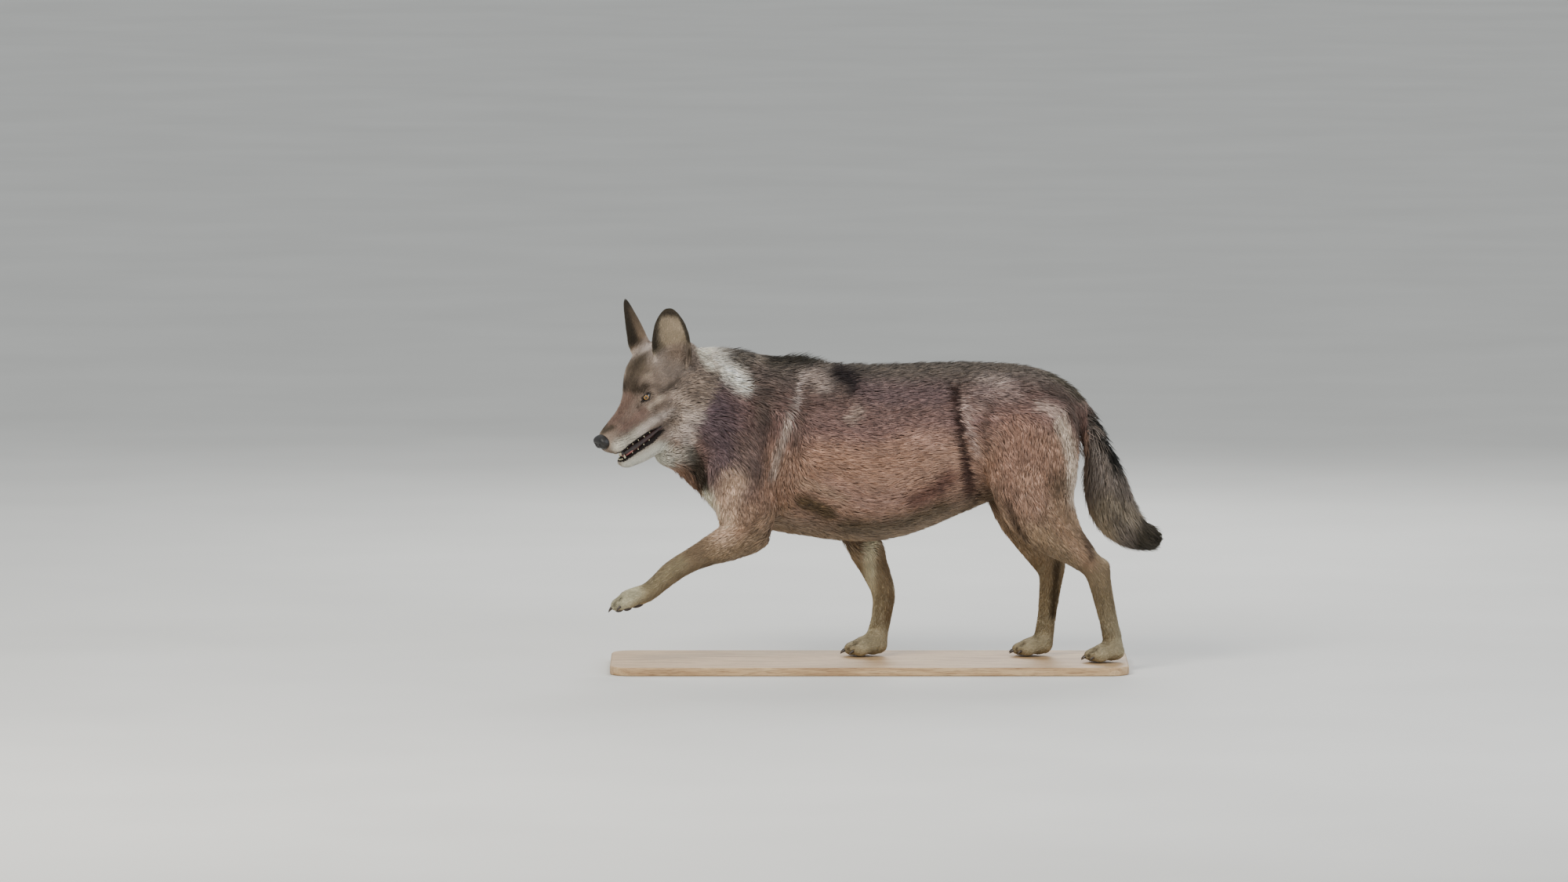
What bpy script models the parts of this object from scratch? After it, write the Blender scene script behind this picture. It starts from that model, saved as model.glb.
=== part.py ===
"""A grey wolf at a walking trot, life size, as a museum model on a plain display base.

The outer surface of the coat is modelled as one body: lofted limbs and ellipsoid muscles are
joined, remeshed and smoothed, shaped with a few soft strokes, and then parted with thin cuts
into head, jaw, neck, trunk, tail and legs. Ears, eyes and nose are pieces of their own.

Metres, +Z up. The wolf faces -X, and its left side faces -Y.
"""

from math import cos, pi, radians, sin

import bmesh
import bpy
import numpy as np
from mathutils import Matrix, Vector

# --- Driving dimensions ------------------------------------------------------------------
CUT = 0.0004  # width of the cuts that part the body, and the gap where two pieces meet
VOXEL = 0.0034  # grain of the remesh that fuses the volumes
SMOOTH_ROUNDS = 7
TRUNK_ROUNDS = 70  # more smoothing for the trunk and the neck's root
TRUNK_FRONT, TRUNK_LOWEST = -0.37, 0.27  # where that smoothing ends, ahead and below
FACES_IN_ALL = 5150  # triangles that the body keeps before it is parted
DETAIL_WEIGHT = 3e-3  # how far the thinning spares the head and the paws

BASE_LENGTH, BASE_WIDTH, BASE_THICKNESS = 1.10, 0.36, 0.018
BASE_CENTRE_X = -0.03
BASE_CORNER = 0.045
BASE_EDGE = 0.0025
FLOOR = BASE_THICKNESS + CUT  # the level that the paws stand on
SOLE_DEPTH = 0.0015  # what lies less than this above the level is pressed flat onto it

HEAD_SCALE = 1.045  # the head below is drawn 0.28 m long
HEAD_CENTRE = Vector((-0.456, -0.035, 0.580))  # middle of the cranium, above the floor
HEAD_YAW, HEAD_PITCH, HEAD_ROLL = radians(32), radians(32), radians(3.5)
CRANIUM = 0.200  # from the nose tip back to HEAD_CENTRE

EYE_RADIUS = 0.0122
EYE = Vector((0.1330, 0.0330, 0.0335))  # back from the nose tip, out from the midline, up
EAR_ROOT = Vector((0.2150, 0.0560, 0.0620))
EAR_HEIGHT, EAR_WIDTH, EAR_THICKNESS = 0.126, 0.084, 0.0070
EAR_LEAN = (-0.22, 0.24)  # backwards and outwards, for each unit of height
EAR_FACING = radians(38)  # outwards from straight ahead
EAR_BEND = (98, 62)  # degrees of half its arc at the root, and how much less at the tip
EAR_DEPTH = 0.016  # of the root, behind EAR_ROOT
EAR_CURL = 0.012  # forwards at the tip
NOSE = Vector((0.011, 0, -0.003))
NOSE_WIDTH, NOSE_HEIGHT, NOSE_DEPTH = 0.036, 0.028, 0.026

COAT = (0.42, 0.34, 0.27)
MATERIALS = {
    "coat": (COAT, 0.9),
    "dark_coat": ((0.10, 0.085, 0.075), 0.9),
    "eye": ((0.42, 0.24, 0.06), 0.1),
    "nose_leather": ((0.03, 0.028, 0.028), 0.45),
    "base_board": ((0.62, 0.60, 0.56), 0.6),
}

OTHER_MATERIALS = {"eye": "eye", "nose": "nose_leather", "stand": "base_board", "tail": "dark_coat"}


# --- The head's own frame ----------------------------------------------------------------
def head_matrix():
    """From head space (x ahead, y to the wolf's left, z up, from the cranium) to the world."""
    ahead = Vector((-cos(HEAD_YAW), -sin(HEAD_YAW), 0))
    left = Vector((sin(HEAD_YAW), -cos(HEAD_YAW), 0))
    up = Vector((0, 0, 1))
    ahead, up = (
        ahead * cos(HEAD_PITCH) - up * sin(HEAD_PITCH),
        ahead * sin(HEAD_PITCH) + up * cos(HEAD_PITCH),
    )
    left, up = (
        left * cos(HEAD_ROLL) - up * sin(HEAD_ROLL),
        up * cos(HEAD_ROLL) + left * sin(HEAD_ROLL),
    )
    turn = Matrix((ahead, left, up)).transposed().to_4x4()
    place = Matrix.Translation(HEAD_CENTRE + Vector((0, 0, FLOOR)))
    return place @ turn @ Matrix.Scale(HEAD_SCALE, 4)


HEAD = head_matrix()


def in_head(back, out, up):
    """A point given as distance behind the nose tip, out to the left, and up."""
    return Vector((CRANIUM - back, out, up))


# --- Small tools -------------------------------------------------------------------------
def clear_scene():
    for item in list(bpy.data.objects):
        bpy.data.objects.remove(item)


def collection(name):
    made = bpy.data.collections.new(name)
    bpy.context.scene.collection.children.link(made)
    return made


def add_object(name, mesh, home):
    made = bpy.data.objects.new(name, mesh)
    home.objects.link(made)
    return made


def mesh_from(name, build):
    """A mesh filled by build(bm)."""
    bm = bmesh.new()
    build(bm)
    mesh = bpy.data.meshes.new(name)
    bm.to_mesh(mesh)
    bm.free()
    return mesh


def evaluated(piece):
    """The piece's mesh with its modifiers applied."""
    graph = bpy.context.evaluated_depsgraph_get()
    return bpy.data.meshes.new_from_object(piece.evaluated_get(graph))


def apply_modifiers(piece):
    piece.data = evaluated(piece)
    piece.modifiers.clear()
    return piece


def smooth_rows(rows, steps):
    """Rows of numbers with a Catmull-Rom curve run through them."""
    rows = np.array(rows, float)
    padded = np.vstack([2 * rows[0] - rows[1], rows, 2 * rows[-1] - rows[-2]])
    found = []
    for i in range(len(rows) - 1):
        before, start, end, after = padded[i : i + 4]
        for step in range(steps):
            t = step / steps
            found.append(
                0.5
                * (
                    2 * start
                    + (end - before) * t
                    + (2 * before - 5 * start + 4 * end - after) * t * t
                    + (3 * start - before - 3 * end + after) * t**3
                )
            )
    return np.array(found + [rows[-1]])


# --- Volumes that the body is fused from -------------------------------------------------
def skin_over(bm, rings):
    """Faces from ring to ring, and a cap on each end."""
    for ring, following in zip(rings, rings[1:]):
        for i, corner in enumerate(ring):
            j = (i + 1) % len(ring)
            bm.faces.new((corner, ring[j], following[j], following[i]))
    bm.faces.new(reversed(rings[0]))
    bm.faces.new(rings[-1])
    bmesh.ops.recalc_face_normals(bm, faces=bm.faces)


def sections(bm, rows, place=Matrix(), steps=4, around=28, squareness=1.0):
    """A loft of upright sections: each row is x, y, top, bottom, half width.

    A squareness below 1 fills the corners of each section.
    """
    def bent(value):
        return abs(value) ** squareness * (1 if value > 0 else -1)

    rings = []
    for x, y, top, bottom, half in smooth_rows(rows, steps):
        middle, reach = (top + bottom) / 2, (top - bottom) / 2
        turn = [2 * pi * i / around for i in range(around)]
        ring = [Vector((x, y + half * bent(cos(a)), middle + reach * bent(sin(a)))) for a in turn]
        rings.append([bm.verts.new(place @ point) for point in ring])
    skin_over(bm, rings)


def limb(bm, rows, steps=4, around=20):
    """A loft along a path: each row is x, y, z above the floor, half width, half depth."""
    rows = smooth_rows(rows, steps)
    rows[:, 2] += FLOOR
    path = [Vector(row[:3]) for row in rows]
    rings = []
    for i, (row, point) in enumerate(zip(rows, path)):
        ahead = path[min(i + 1, len(path) - 1)] - path[max(i - 1, 0)]
        side = Vector((0, 1, 0)).cross(ahead).cross(ahead).normalized()
        depth = ahead.cross(side).normalized()
        turn = [2 * pi * k / around for k in range(around)]
        rings.append(
            [
                bm.verts.new(point + side * row[3] * cos(a) + depth * row[4] * sin(a))
                for a in turn
            ]
        )
    skin_over(bm, rings)


def ball(bm, centre, radii, turn=Matrix(), place=Matrix()):
    """An ellipsoid."""
    size = Matrix.Diagonal((*radii, 1))
    matrix = place @ Matrix.Translation(centre) @ turn @ size
    bmesh.ops.create_icosphere(bm, subdivisions=3, radius=1, matrix=matrix)


def pitch(degrees):
    """A turn in the side view that raises what points to -X."""
    return Matrix.Rotation(radians(degrees), 4, "Y")


def body_ball(bm, x, y, z, radii, degrees=0):
    ball(bm, (x, y, z + FLOOR), radii, pitch(degrees))


def trunk(bm):
    sections(
        bm,
        [
            # x, y, top, bottom, half width
            (-0.392, 0, 0.440, 0.350, 0.028),
            (-0.365, 0, 0.500, 0.315, 0.062),
            (-0.310, 0, 0.575, 0.288, 0.090),
            (-0.236, 0, 0.622, 0.272, 0.103),
            (-0.144, 0, 0.634, 0.258, 0.112),
            (-0.044, 0, 0.631, 0.248, 0.119),
            (0.056, 0, 0.636, 0.264, 0.116),
            (0.150, 0, 0.639, 0.302, 0.104),
            (0.225, 0, 0.638, 0.334, 0.097),
            (0.300, 0, 0.632, 0.368, 0.098),
            (0.350, 0, 0.619, 0.400, 0.088),
            (0.392, 0, 0.594, 0.432, 0.066),
            (0.418, 0, 0.560, 0.465, 0.036),
        ],
        Matrix.Translation((0, 0, FLOOR)),
    )
    body_ball(bm, -0.190, 0, 0.594, (0.120, 0.050, 0.058), 2)  # mane over the withers
    body_ball(bm, -0.395, -0.005, 0.430, (0.055, 0.060, 0.080), -25)  # breast
    body_ball(bm, -0.430, -0.026, 0.458, (0.064, 0.056, 0.062), -22)  # throat
    for y in (-1, 1):
        body_ball(bm, -0.225, 0.072 * y, 0.500, (0.070, 0.040, 0.120), -20)  # shoulder
        body_ball(bm, -0.035, 0.060 * y, 0.450, (0.130, 0.062, 0.145), 0)  # ribs
        body_ball(bm, 0.300, 0.058 * y, 0.560, (0.080, 0.040, 0.048), 12)  # haunch


def neck(bm):
    limb(
        bm,
        [
            # x, y, z, half width, half depth
            (-0.190, 0, 0.470, 0.080, 0.150),
            (-0.270, 0, 0.505, 0.098, 0.152),
            (-0.340, -0.002, 0.532, 0.103, 0.142),
            (-0.395, -0.010, 0.556, 0.100, 0.125),
            (-0.430, -0.022, 0.572, 0.092, 0.108),
            (-0.455, -0.035, 0.582, 0.076, 0.085),
        ],
        around=28,
    )


def head(bm):
    """The skull and upper muzzle, the lower jaw, and the pads, brows and ruffs on them."""
    upper = [
        # back from the nose, top, bottom, half width
        (0.008, 0.006, -0.025, 0.0150),
        (0.022, 0.014, -0.036, 0.0225),
        (0.048, 0.021, -0.043, 0.0270),
        (0.080, 0.028, -0.045, 0.0315),
        (0.106, 0.042, -0.046, 0.0385),
        (0.128, 0.064, -0.047, 0.0490),
        (0.150, 0.083, -0.050, 0.0620),
        (0.178, 0.094, -0.055, 0.0740),
        (0.210, 0.096, -0.060, 0.0780),
        (0.240, 0.090, -0.060, 0.0760),
        (0.270, 0.080, -0.060, 0.0700),
        (0.292, 0.060, -0.040, 0.0540),
    ]
    lower = [
        (0.024, -0.058, -0.074, 0.0110),
        (0.036, -0.055, -0.083, 0.0180),
        (0.070, -0.054, -0.092, 0.0235),
        (0.105, -0.049, -0.098, 0.0310),
        (0.130, -0.041, -0.103, 0.0370),
        (0.160, -0.020, -0.110, 0.0450),
        (0.195, 0.000, -0.115, 0.0520),
        (0.230, 0.010, -0.112, 0.0560),
        (0.262, 0.010, -0.095, 0.0520),
    ]
    for rows in (upper, lower):
        upright = [(CRANIUM - s, 0, top, bottom, w) for s, top, bottom, w in rows]
        sections(bm, upright, HEAD, squareness=0.78)
    for side in (-1, 1):
        for back, out, up, radii in (
            (0.040, 0.0125, -0.023, (0.027, 0.0155, 0.0205)),  # whisker pad
            (0.150, 0.0300, 0.0540, (0.021, 0.0170, 0.0120)),  # brow
            (0.165, 0.0500, 0.0000, (0.038, 0.0160, 0.0240)),  # cheek bone
            (0.205, 0.0600, -0.035, (0.042, 0.0350, 0.0520)),  # cheek ruff
            (0.240, 0.0640, -0.006, (0.036, 0.0360, 0.0620)),  # ruff below the ear
            (0.224, 0.0560, 0.0600, (0.033, 0.0290, 0.0250)),  # root of the ear
        ):
            ball(bm, in_head(back, out * side, up), radii, place=HEAD)


def tail(bm):
    limb(
        bm,
        [
            (0.372, 0, 0.575, 0.028, 0.026),
            (0.410, 0, 0.556, 0.026, 0.024),
            (0.437, 0, 0.515, 0.027, 0.023),
            (0.452, 0, 0.470, 0.034, 0.029),
            (0.464, 0, 0.420, 0.043, 0.044),
            (0.474, 0.001, 0.368, 0.049, 0.054),
            (0.490, 0.002, 0.318, 0.049, 0.056),
            (0.520, 0.004, 0.280, 0.044, 0.045),
            (0.558, 0.006, 0.262, 0.036, 0.038),
            (0.588, 0.008, 0.255, 0.024, 0.026),
            (0.604, 0.009, 0.251, 0.008, 0.008),
        ],
        steps=5,
    )


def left_foreleg(bm):
    """Reaching forward, with the paw off the ground."""
    limb(
        bm,
        [
            (-0.300, -0.066, 0.450, 0.040, 0.070),
            (-0.305, -0.078, 0.385, 0.043, 0.072),
            (-0.287, -0.084, 0.318, 0.040, 0.064),
            (-0.262, -0.086, 0.268, 0.030, 0.040),
        ],
    )
    limb(
        bm,
        [
            (-0.245, -0.086, 0.283, 0.026, 0.030),
            (-0.285, -0.087, 0.272, 0.034, 0.042),
            (-0.340, -0.087, 0.252, 0.031, 0.037),
            (-0.395, -0.086, 0.226, 0.0245, 0.0275),
            (-0.432, -0.085, 0.206, 0.0235, 0.0245),
            (-0.455, -0.085, 0.190, 0.0240, 0.0245),
            (-0.485, -0.084, 0.162, 0.0235, 0.0205),
            (-0.512, -0.084, 0.142, 0.0270, 0.0210),
        ],
    )
    paw(bm, (-0.507, -0.084, 0.122), -14, 1.0)


def right_foreleg(bm):
    """Late in its stride, the paw behind the shoulder."""
    limb(
        bm,
        [
            (-0.200, 0.066, 0.460, 0.040, 0.075),
            (-0.165, 0.078, 0.405, 0.043, 0.078),
            (-0.110, 0.084, 0.350, 0.039, 0.062),
            (-0.070, 0.085, 0.318, 0.030, 0.040),
        ],
    )
    limb(
        bm,
        [
            (-0.084, 0.085, 0.345, 0.026, 0.032),
            (-0.072, 0.084, 0.310, 0.033, 0.044),
            (-0.050, 0.080, 0.262, 0.032, 0.043),
            (-0.022, 0.074, 0.196, 0.0250, 0.0330),
            (0.000, 0.069, 0.143, 0.0235, 0.0275),
            (0.002, 0.066, 0.112, 0.0235, 0.0245),
            (-0.006, 0.063, 0.070, 0.0230, 0.0215),
            (-0.014, 0.061, 0.036, 0.0270, 0.0240),
        ],
    )
    paw(bm, (-0.013, 0.060, 0.000), 0, 1.0)


def left_hindleg(bm):
    """Pushing off, the paw behind the hip."""
    limb(
        bm,
        [
            (0.345, -0.055, 0.560, 0.036, 0.060),
            (0.335, -0.066, 0.500, 0.046, 0.086),
            (0.322, -0.076, 0.430, 0.051, 0.096),
            (0.320, -0.080, 0.370, 0.048, 0.094),
            (0.337, -0.080, 0.320, 0.041, 0.079),
            (0.374, -0.077, 0.272, 0.032, 0.056),
            (0.412, -0.073, 0.236, 0.0230, 0.0350),
            (0.446, -0.071, 0.203, 0.0215, 0.0255),
        ],
        steps=5,
    )
    limb(bm, metatarsus(0.452, 0.494, -0.071, -0.066, 0.203))
    body_ball(bm, 0.466, -0.071, 0.208, (0.019, 0.015, 0.017), 40)  # point of the hock
    paw(bm, (0.492, -0.065, 0.000), 0, 0.94)


def right_hindleg(bm):
    """Swinging up under the belly, just set down."""
    limb(
        bm,
        [
            (0.345, 0.055, 0.560, 0.036, 0.060),
            (0.330, 0.066, 0.500, 0.046, 0.086),
            (0.308, 0.076, 0.430, 0.051, 0.094),
            (0.290, 0.080, 0.368, 0.047, 0.084),
            (0.292, 0.080, 0.316, 0.040, 0.062),
            (0.314, 0.077, 0.262, 0.031, 0.046),
            (0.338, 0.073, 0.218, 0.0230, 0.033),
            (0.357, 0.071, 0.186, 0.0215, 0.0265),
        ],
        steps=5,
    )
    limb(bm, metatarsus(0.362, 0.342, 0.071, 0.064, 0.188))
    body_ball(bm, 0.376, 0.071, 0.194, (0.018, 0.015, 0.019), 20)  # point of the hock
    paw(bm, (0.341, 0.063, 0.000), 0, 0.94)


SHANK_SIZES = (  # share of the way down, half width, half depth
    (0.00, 0.0215, 0.0280),
    (0.30, 0.0200, 0.0240),
    (0.65, 0.0195, 0.0205),
    (0.90, 0.0225, 0.0215),
)
SHANK_END = 0.018  # height of the joint above the toes


def metatarsus(hock_x, toe_x, hock_y, toe_y, hock_z):
    """The rows of a hind shank, from the hock down to the paw."""
    hock, toe = Vector((hock_x, hock_y, hock_z)), Vector((toe_x, toe_y, SHANK_END))
    return [(*hock.lerp(toe, share), half, deep) for share, half, deep in SHANK_SIZES]


TOES = (  # ahead, aside, half width of each toe, seen from above
    (0.034, -0.0285, 0.0135),
    (0.052, -0.0110, 0.0140),
    (0.052, 0.0110, 0.0140),
    (0.034, 0.0285, 0.0135),
)
TOE_LENGTH, TOE_HEIGHT, TOE_LEVEL = 0.0215, 0.0165, 0.0155
PADS = (  # middle of the heel pad and of the knuckles, in paw space, and their radii
    ((0.008, 0, 0.0230), (0.034, 0.0310, 0.0225)),
    ((0.024, 0, 0.0260), (0.030, 0.0300, 0.0180)),
)


def paw_matrix(heel, degrees, size):
    """Paw space has x ahead, z up and the sole at z = 0, from below the joint over the toes."""
    ahead = Matrix(((-1, 0, 0, 0), (0, -1, 0, 0), (0, 0, 1, 0), (0, 0, 0, 1)))
    place = Matrix.Translation((heel[0], heel[1], heel[2] + FLOOR))
    return place @ pitch(degrees) @ ahead @ Matrix.Scale(size, 4)


def paw(bm, heel, degrees, size):
    place = paw_matrix(heel, degrees, size)
    for centre, radii in PADS:
        ball(bm, centre, radii, place=place)
    for ahead, aside, half in TOES:
        ball(bm, (ahead, aside, TOE_LEVEL), (TOE_LENGTH, half, TOE_HEIGHT), place=place)


# --- Fusing and shaping ------------------------------------------------------------------
def fuse(home):
    """All volumes as one closed, smoothed surface."""
    def build(bm):
        for volume in (
            trunk,
            neck,
            head,
            tail,
            left_foreleg,
            right_foreleg,
            left_hindleg,
            right_hindleg,
        ):
            volume(bm)

    body = add_object("body", mesh_from("body", build), home)
    remesh = body.modifiers.new("Fuse", "REMESH")
    remesh.mode = "VOXEL"
    remesh.voxel_size = VOXEL
    apply_modifiers(body)
    soften(body, lambda spot: True, SMOOTH_ROUNDS)
    soften(body, lambda spot: TRUNK_FRONT < spot.x and spot.z > FLOOR + TRUNK_LOWEST, TRUNK_ROUNDS)
    return body


def soften(body, where, rounds):
    """Smooths the vertices that where() picks."""
    group = body.vertex_groups.new(name="soft")
    group.add([v.index for v in body.data.vertices if where(v.co)], 1.0, "REPLACE")
    step = body.modifiers.new("Soften", "SMOOTH")
    step.factor = 0.5
    step.iterations = rounds
    step.vertex_group = group.name
    apply_modifiers(body)
    body.vertex_groups.clear()


def face_strokes():
    """Soft pushes on the head, as (back, out, up), radius, (ahead, out, up) in head space."""
    return (
        # the hollow beside the bridge, in front of each eye
        ((0.112, 0.036, 0.022), 0.022, (0.000, -0.0050, -0.001)),
        # the socket that the eye sits in
        ((0.131, 0.043, 0.0335), 0.021, (-0.002, -0.0065, 0.000)),
        # the furrow up the middle of the forehead
        ((0.150, 0.000, 0.065), 0.022, (0.000, 0.0000, -0.003)),
        # the cheek below the eye
        ((0.150, 0.055, 0.000), 0.024, (0.002, 0.0020, 0.001)),
        # the corner of the mouth, drawn in
        ((0.130, 0.040, -0.046), 0.016, (0.000, -0.0040, 0.000)),
    )


def push(points, centre, radius, move):
    """Moves the points near centre, fading to nothing at the radius."""
    away = np.linalg.norm(points - np.array(centre), axis=1) / radius
    share = np.clip(1 - away**2, 0, None) ** 2
    points += share[:, None] * np.array(move)


def shape_face(body):
    points = np.empty(len(body.data.vertices) * 3)
    body.data.vertices.foreach_get("co", points)
    points = points.reshape(-1, 3)
    turn = HEAD.to_3x3()
    for spot, radius, move in face_strokes():
        for side in (1, -1):
            if side < 0 and spot[1] == 0:
                continue
            centre = HEAD @ in_head(spot[0], spot[1] * side, spot[2])
            shift = turn @ Vector((move[0], move[1] * side, move[2]))
            push(points, centre, radius * HEAD_SCALE, shift)
    body.data.vertices.foreach_set("co", points.ravel())
    body.data.update()


def flatten_soles(body):
    """The paws that stand share one flat level."""
    points = np.empty(len(body.data.vertices) * 3)
    body.data.vertices.foreach_get("co", points)
    heights = points[2::3]
    heights[heights < FLOOR + SOLE_DEPTH] = FLOOR
    body.data.vertices.foreach_set("co", points)
    body.data.update()


HEAD_ROOM = Vector((-0.02, 0.13, 0.14))  # rearmost, widest and highest of what counts as head
MUZZLE_BACK = 0.045  # in head space, where the muzzle meets the brow
PAW_TOP = 0.06
KEEP_MUZZLE, KEEP_SKULL, KEEP_PAW = 0.9, 0.6, 0.4  # shares of the detail that are kept


def detail_at(spot, into_head):
    on_head = into_head @ spot
    if on_head.x > HEAD_ROOM.x and abs(on_head.y) < HEAD_ROOM.y and abs(on_head.z) < HEAD_ROOM.z:
        return KEEP_SKULL if on_head.x < MUZZLE_BACK else KEEP_MUZZLE
    return KEEP_PAW if spot.z < FLOOR + PAW_TOP else 0.0


def thin_out(body):
    """Fewer faces, most of them kept on the head and the paws."""
    group = body.vertex_groups.new(name="detail")
    into_head = HEAD.inverted()
    for vertex in body.data.vertices:
        group.add([vertex.index], detail_at(vertex.co, into_head), "REPLACE")
    fewer = body.modifiers.new("Fewer faces", "DECIMATE")
    fewer.vertex_group = group.name
    fewer.vertex_group_factor = DETAIL_WEIGHT
    fewer.invert_vertex_group = True
    fewer.use_collapse_triangulate = True
    fewer.ratio = FACES_IN_ALL / (2 * len(body.data.polygons))
    apply_modifiers(body)
    body.vertex_groups.clear()


# --- Parting the body --------------------------------------------------------------------
def hull(name, points, home, grow=0.0):
    """A closed convex cutter round the points, its faces moved out by the distance grow."""
    def build(bm):
        for point in points:
            bm.verts.new(point)
        bmesh.ops.convex_hull(bm, input=bm.verts)
        inside = [vertex for vertex in bm.verts if not vertex.link_faces]
        bmesh.ops.delete(bm, geom=inside, context="VERTS")
        bmesh.ops.recalc_face_normals(bm, faces=bm.faces)
        bm.normal_update()
        moves = []
        for vertex in bm.verts:
            normals = np.array([face.normal for face in vertex.link_faces])
            wanted = np.full(len(normals), grow)
            moves.append(np.linalg.lstsq(normals, wanted, rcond=1e-4)[0])
        for vertex, move in zip(bm.verts, moves):
            vertex.co += Vector(move)

    made = add_object(name, mesh_from(name, build), home)
    made.hide_render = True
    made.display_type = "WIRE"
    return made


def prism(profile, low_y, high_y):
    """The corners of a side-view outline (x, z above the floor) drawn out across the body."""
    return [Vector((x, y, z + FLOOR)) for x, z in profile for y in (low_y, high_y)]


def boolean(piece, operation, cutter):
    step = piece.modifiers.new(operation.title(), "BOOLEAN")
    step.operation = operation
    step.object = cutter
    apply_modifiers(piece)


def part_off(body, name, corners, home, cutters):
    """Cuts the named piece off the body, and leaves a gap between them."""
    piece = add_object(name, body.data.copy(), home)
    boolean(piece, "INTERSECT", hull(name + "_cutter", corners, cutters))
    boolean(body, "DIFFERENCE", hull(name + "_gap", corners, cutters, CUT))
    keep_largest(piece)
    return piece


# outlines of the cutters: on the head as back, up; on the body as x, z above the floor
HEAD_CUT = ((-0.050, 0.190), (0.278, 0.190), (0.278, 0.050), (0.212, -0.170), (-0.050, -0.170))
JAW_CUT = ((-0.030, -0.053), (0.060, -0.050), (0.136, -0.044), (0.172, -0.150), (-0.030, -0.150))
HEAD_REACH, JAW_REACH = 0.17, 0.12  # half widths of those two
NECK_CUT = (
    (-0.262, 0.70), (-0.340, 0.40), (-0.410, 0.335), (-0.62, 0.335), (-0.62, 0.80), (-0.262, 0.80),
)
NECK_REACH = 0.2
FORELEG_CUTS = {
    "left": (
        (-0.66, 0.02), (-0.66, 0.15), (-0.300, 0.368), (-0.215, 0.352), (-0.165, 0.20), (-0.30, -0.02),
    ),
    "right": (
        (-0.23, -0.02), (-0.225, 0.385), (-0.150, 0.400), (-0.028, 0.335), (0.06, 0.18), (0.075, -0.02),
    ),
}
FORELEG_TOP = 0.25  # below it the cut keeps to INNER, above it to ARMPIT
INNER, ARMPIT, OUTER = 0.010, 0.042, 0.22  # distances from the body's midline
TAIL_CUT = (
    (0.4036, 0.62), (0.4150, 0.31), (0.455, 0.245), (0.52, 0.205), (0.70, 0.205), (0.70, 0.62),
)
TAIL_REACH = 0.0525
HINDLEG_FRONT, HINDLEG_REAR = 0.185, 0.560
HINDLEG_CUT = (  # seen from behind: distance from the midline, height
    (0.020, -0.02), (0.020, 0.360), (0.150, 0.600), (0.220, 0.600), (0.220, -0.02),
)


def head_prism(outline, reach):
    """The corners of an outline on the head, drawn out to both sides."""
    return [HEAD @ in_head(back, out, up) for back, up in outline for out in (-reach, reach)]


def part_body(body, home, cutters):
    pieces = [part_off(body, "head", head_prism(HEAD_CUT, HEAD_REACH), home, cutters)]
    jaw_corners = head_prism(JAW_CUT, JAW_REACH)
    pieces.append(part_off(pieces[0], "lower_jaw", jaw_corners, home, cutters))
    neck_corners = prism(NECK_CUT, -NECK_REACH, NECK_REACH)
    pieces.append(part_off(body, "neck", neck_corners, home, cutters))
    for side, y in (("left", -1), ("right", 1)):
        corners = [
            Vector((x, out * y, z + FLOOR))
            for x, z in FORELEG_CUTS[side]
            for out in (INNER if z < FORELEG_TOP else ARMPIT, OUTER)
        ]
        pieces.append(part_off(body, f"foreleg_{side}", corners, home, cutters))
    tail_corners = prism(TAIL_CUT, -TAIL_REACH, TAIL_REACH)
    pieces.append(part_off(body, "tail", tail_corners, home, cutters))
    for side, y in (("left", -1), ("right", 1)):
        corners = [
            Vector((x, out * y, z + FLOOR))
            for x in (HINDLEG_FRONT, HINDLEG_REAR)
            for out, z in HINDLEG_CUT
        ]
        pieces.append(part_off(body, f"hindleg_{side}", corners, home, cutters))
    body.name = "trunk"
    pieces.append(body)
    return pieces


# --- Ears, eyes, nose --------------------------------------------------------------------
EAR_PROFILE = (  # share of the height, share of the width
    (-0.20, 0.50),
    (0.00, 0.72),
    (0.16, 0.92),
    (0.32, 1.00),
    (0.50, 0.95),
    (0.70, 0.80),
    (0.85, 0.58),
    (0.95, 0.36),
    (1.00, 0.14),
)
TIP_CROWDING = 1.3  # rings stand closer together towards the tip


def ear_shape(side, rows=9, across=7):
    """A cupped leaf: arcs that narrow and flatten towards the tip, opening ahead and outwards."""
    heights, widths = zip(*EAR_PROFILE)
    facing = EAR_FACING * side
    opening = Vector((cos(facing), sin(facing), 0.10)).normalized()
    lean = Vector((EAR_LEAN[0], EAR_LEAN[1] * side, 1)).normalized()
    edge = lean.cross(opening).normalized()

    def build(bm):
        grid = []
        for i in range(rows + 1):
            t = 1 - (1 - heights[0]) * (1 - i / rows) ** TIP_CROWDING
            half = EAR_WIDTH / 2 * float(np.interp(t, heights, widths))
            bend = radians(EAR_BEND[0] - EAR_BEND[1] * t)
            radius = half / sin(bend)
            spine = in_head(EAR_ROOT.x, EAR_ROOT.y * side, EAR_ROOT.z) + lean * EAR_HEIGHT * t
            spine += opening * (EAR_CURL * t * t - EAR_DEPTH)
            ring = []
            for k in range(across + 1):
                a = bend * (2 * k / across - 1)
                point = spine + edge * radius * sin(a) + opening * radius * (1 - cos(a))
                ring.append(bm.verts.new(HEAD @ point))
            grid.append(ring)
        for low, high in zip(grid, grid[1:]):
            for k in range(across):
                bm.faces.new((low[k], low[k + 1], high[k + 1], high[k]))

    return build


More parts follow.
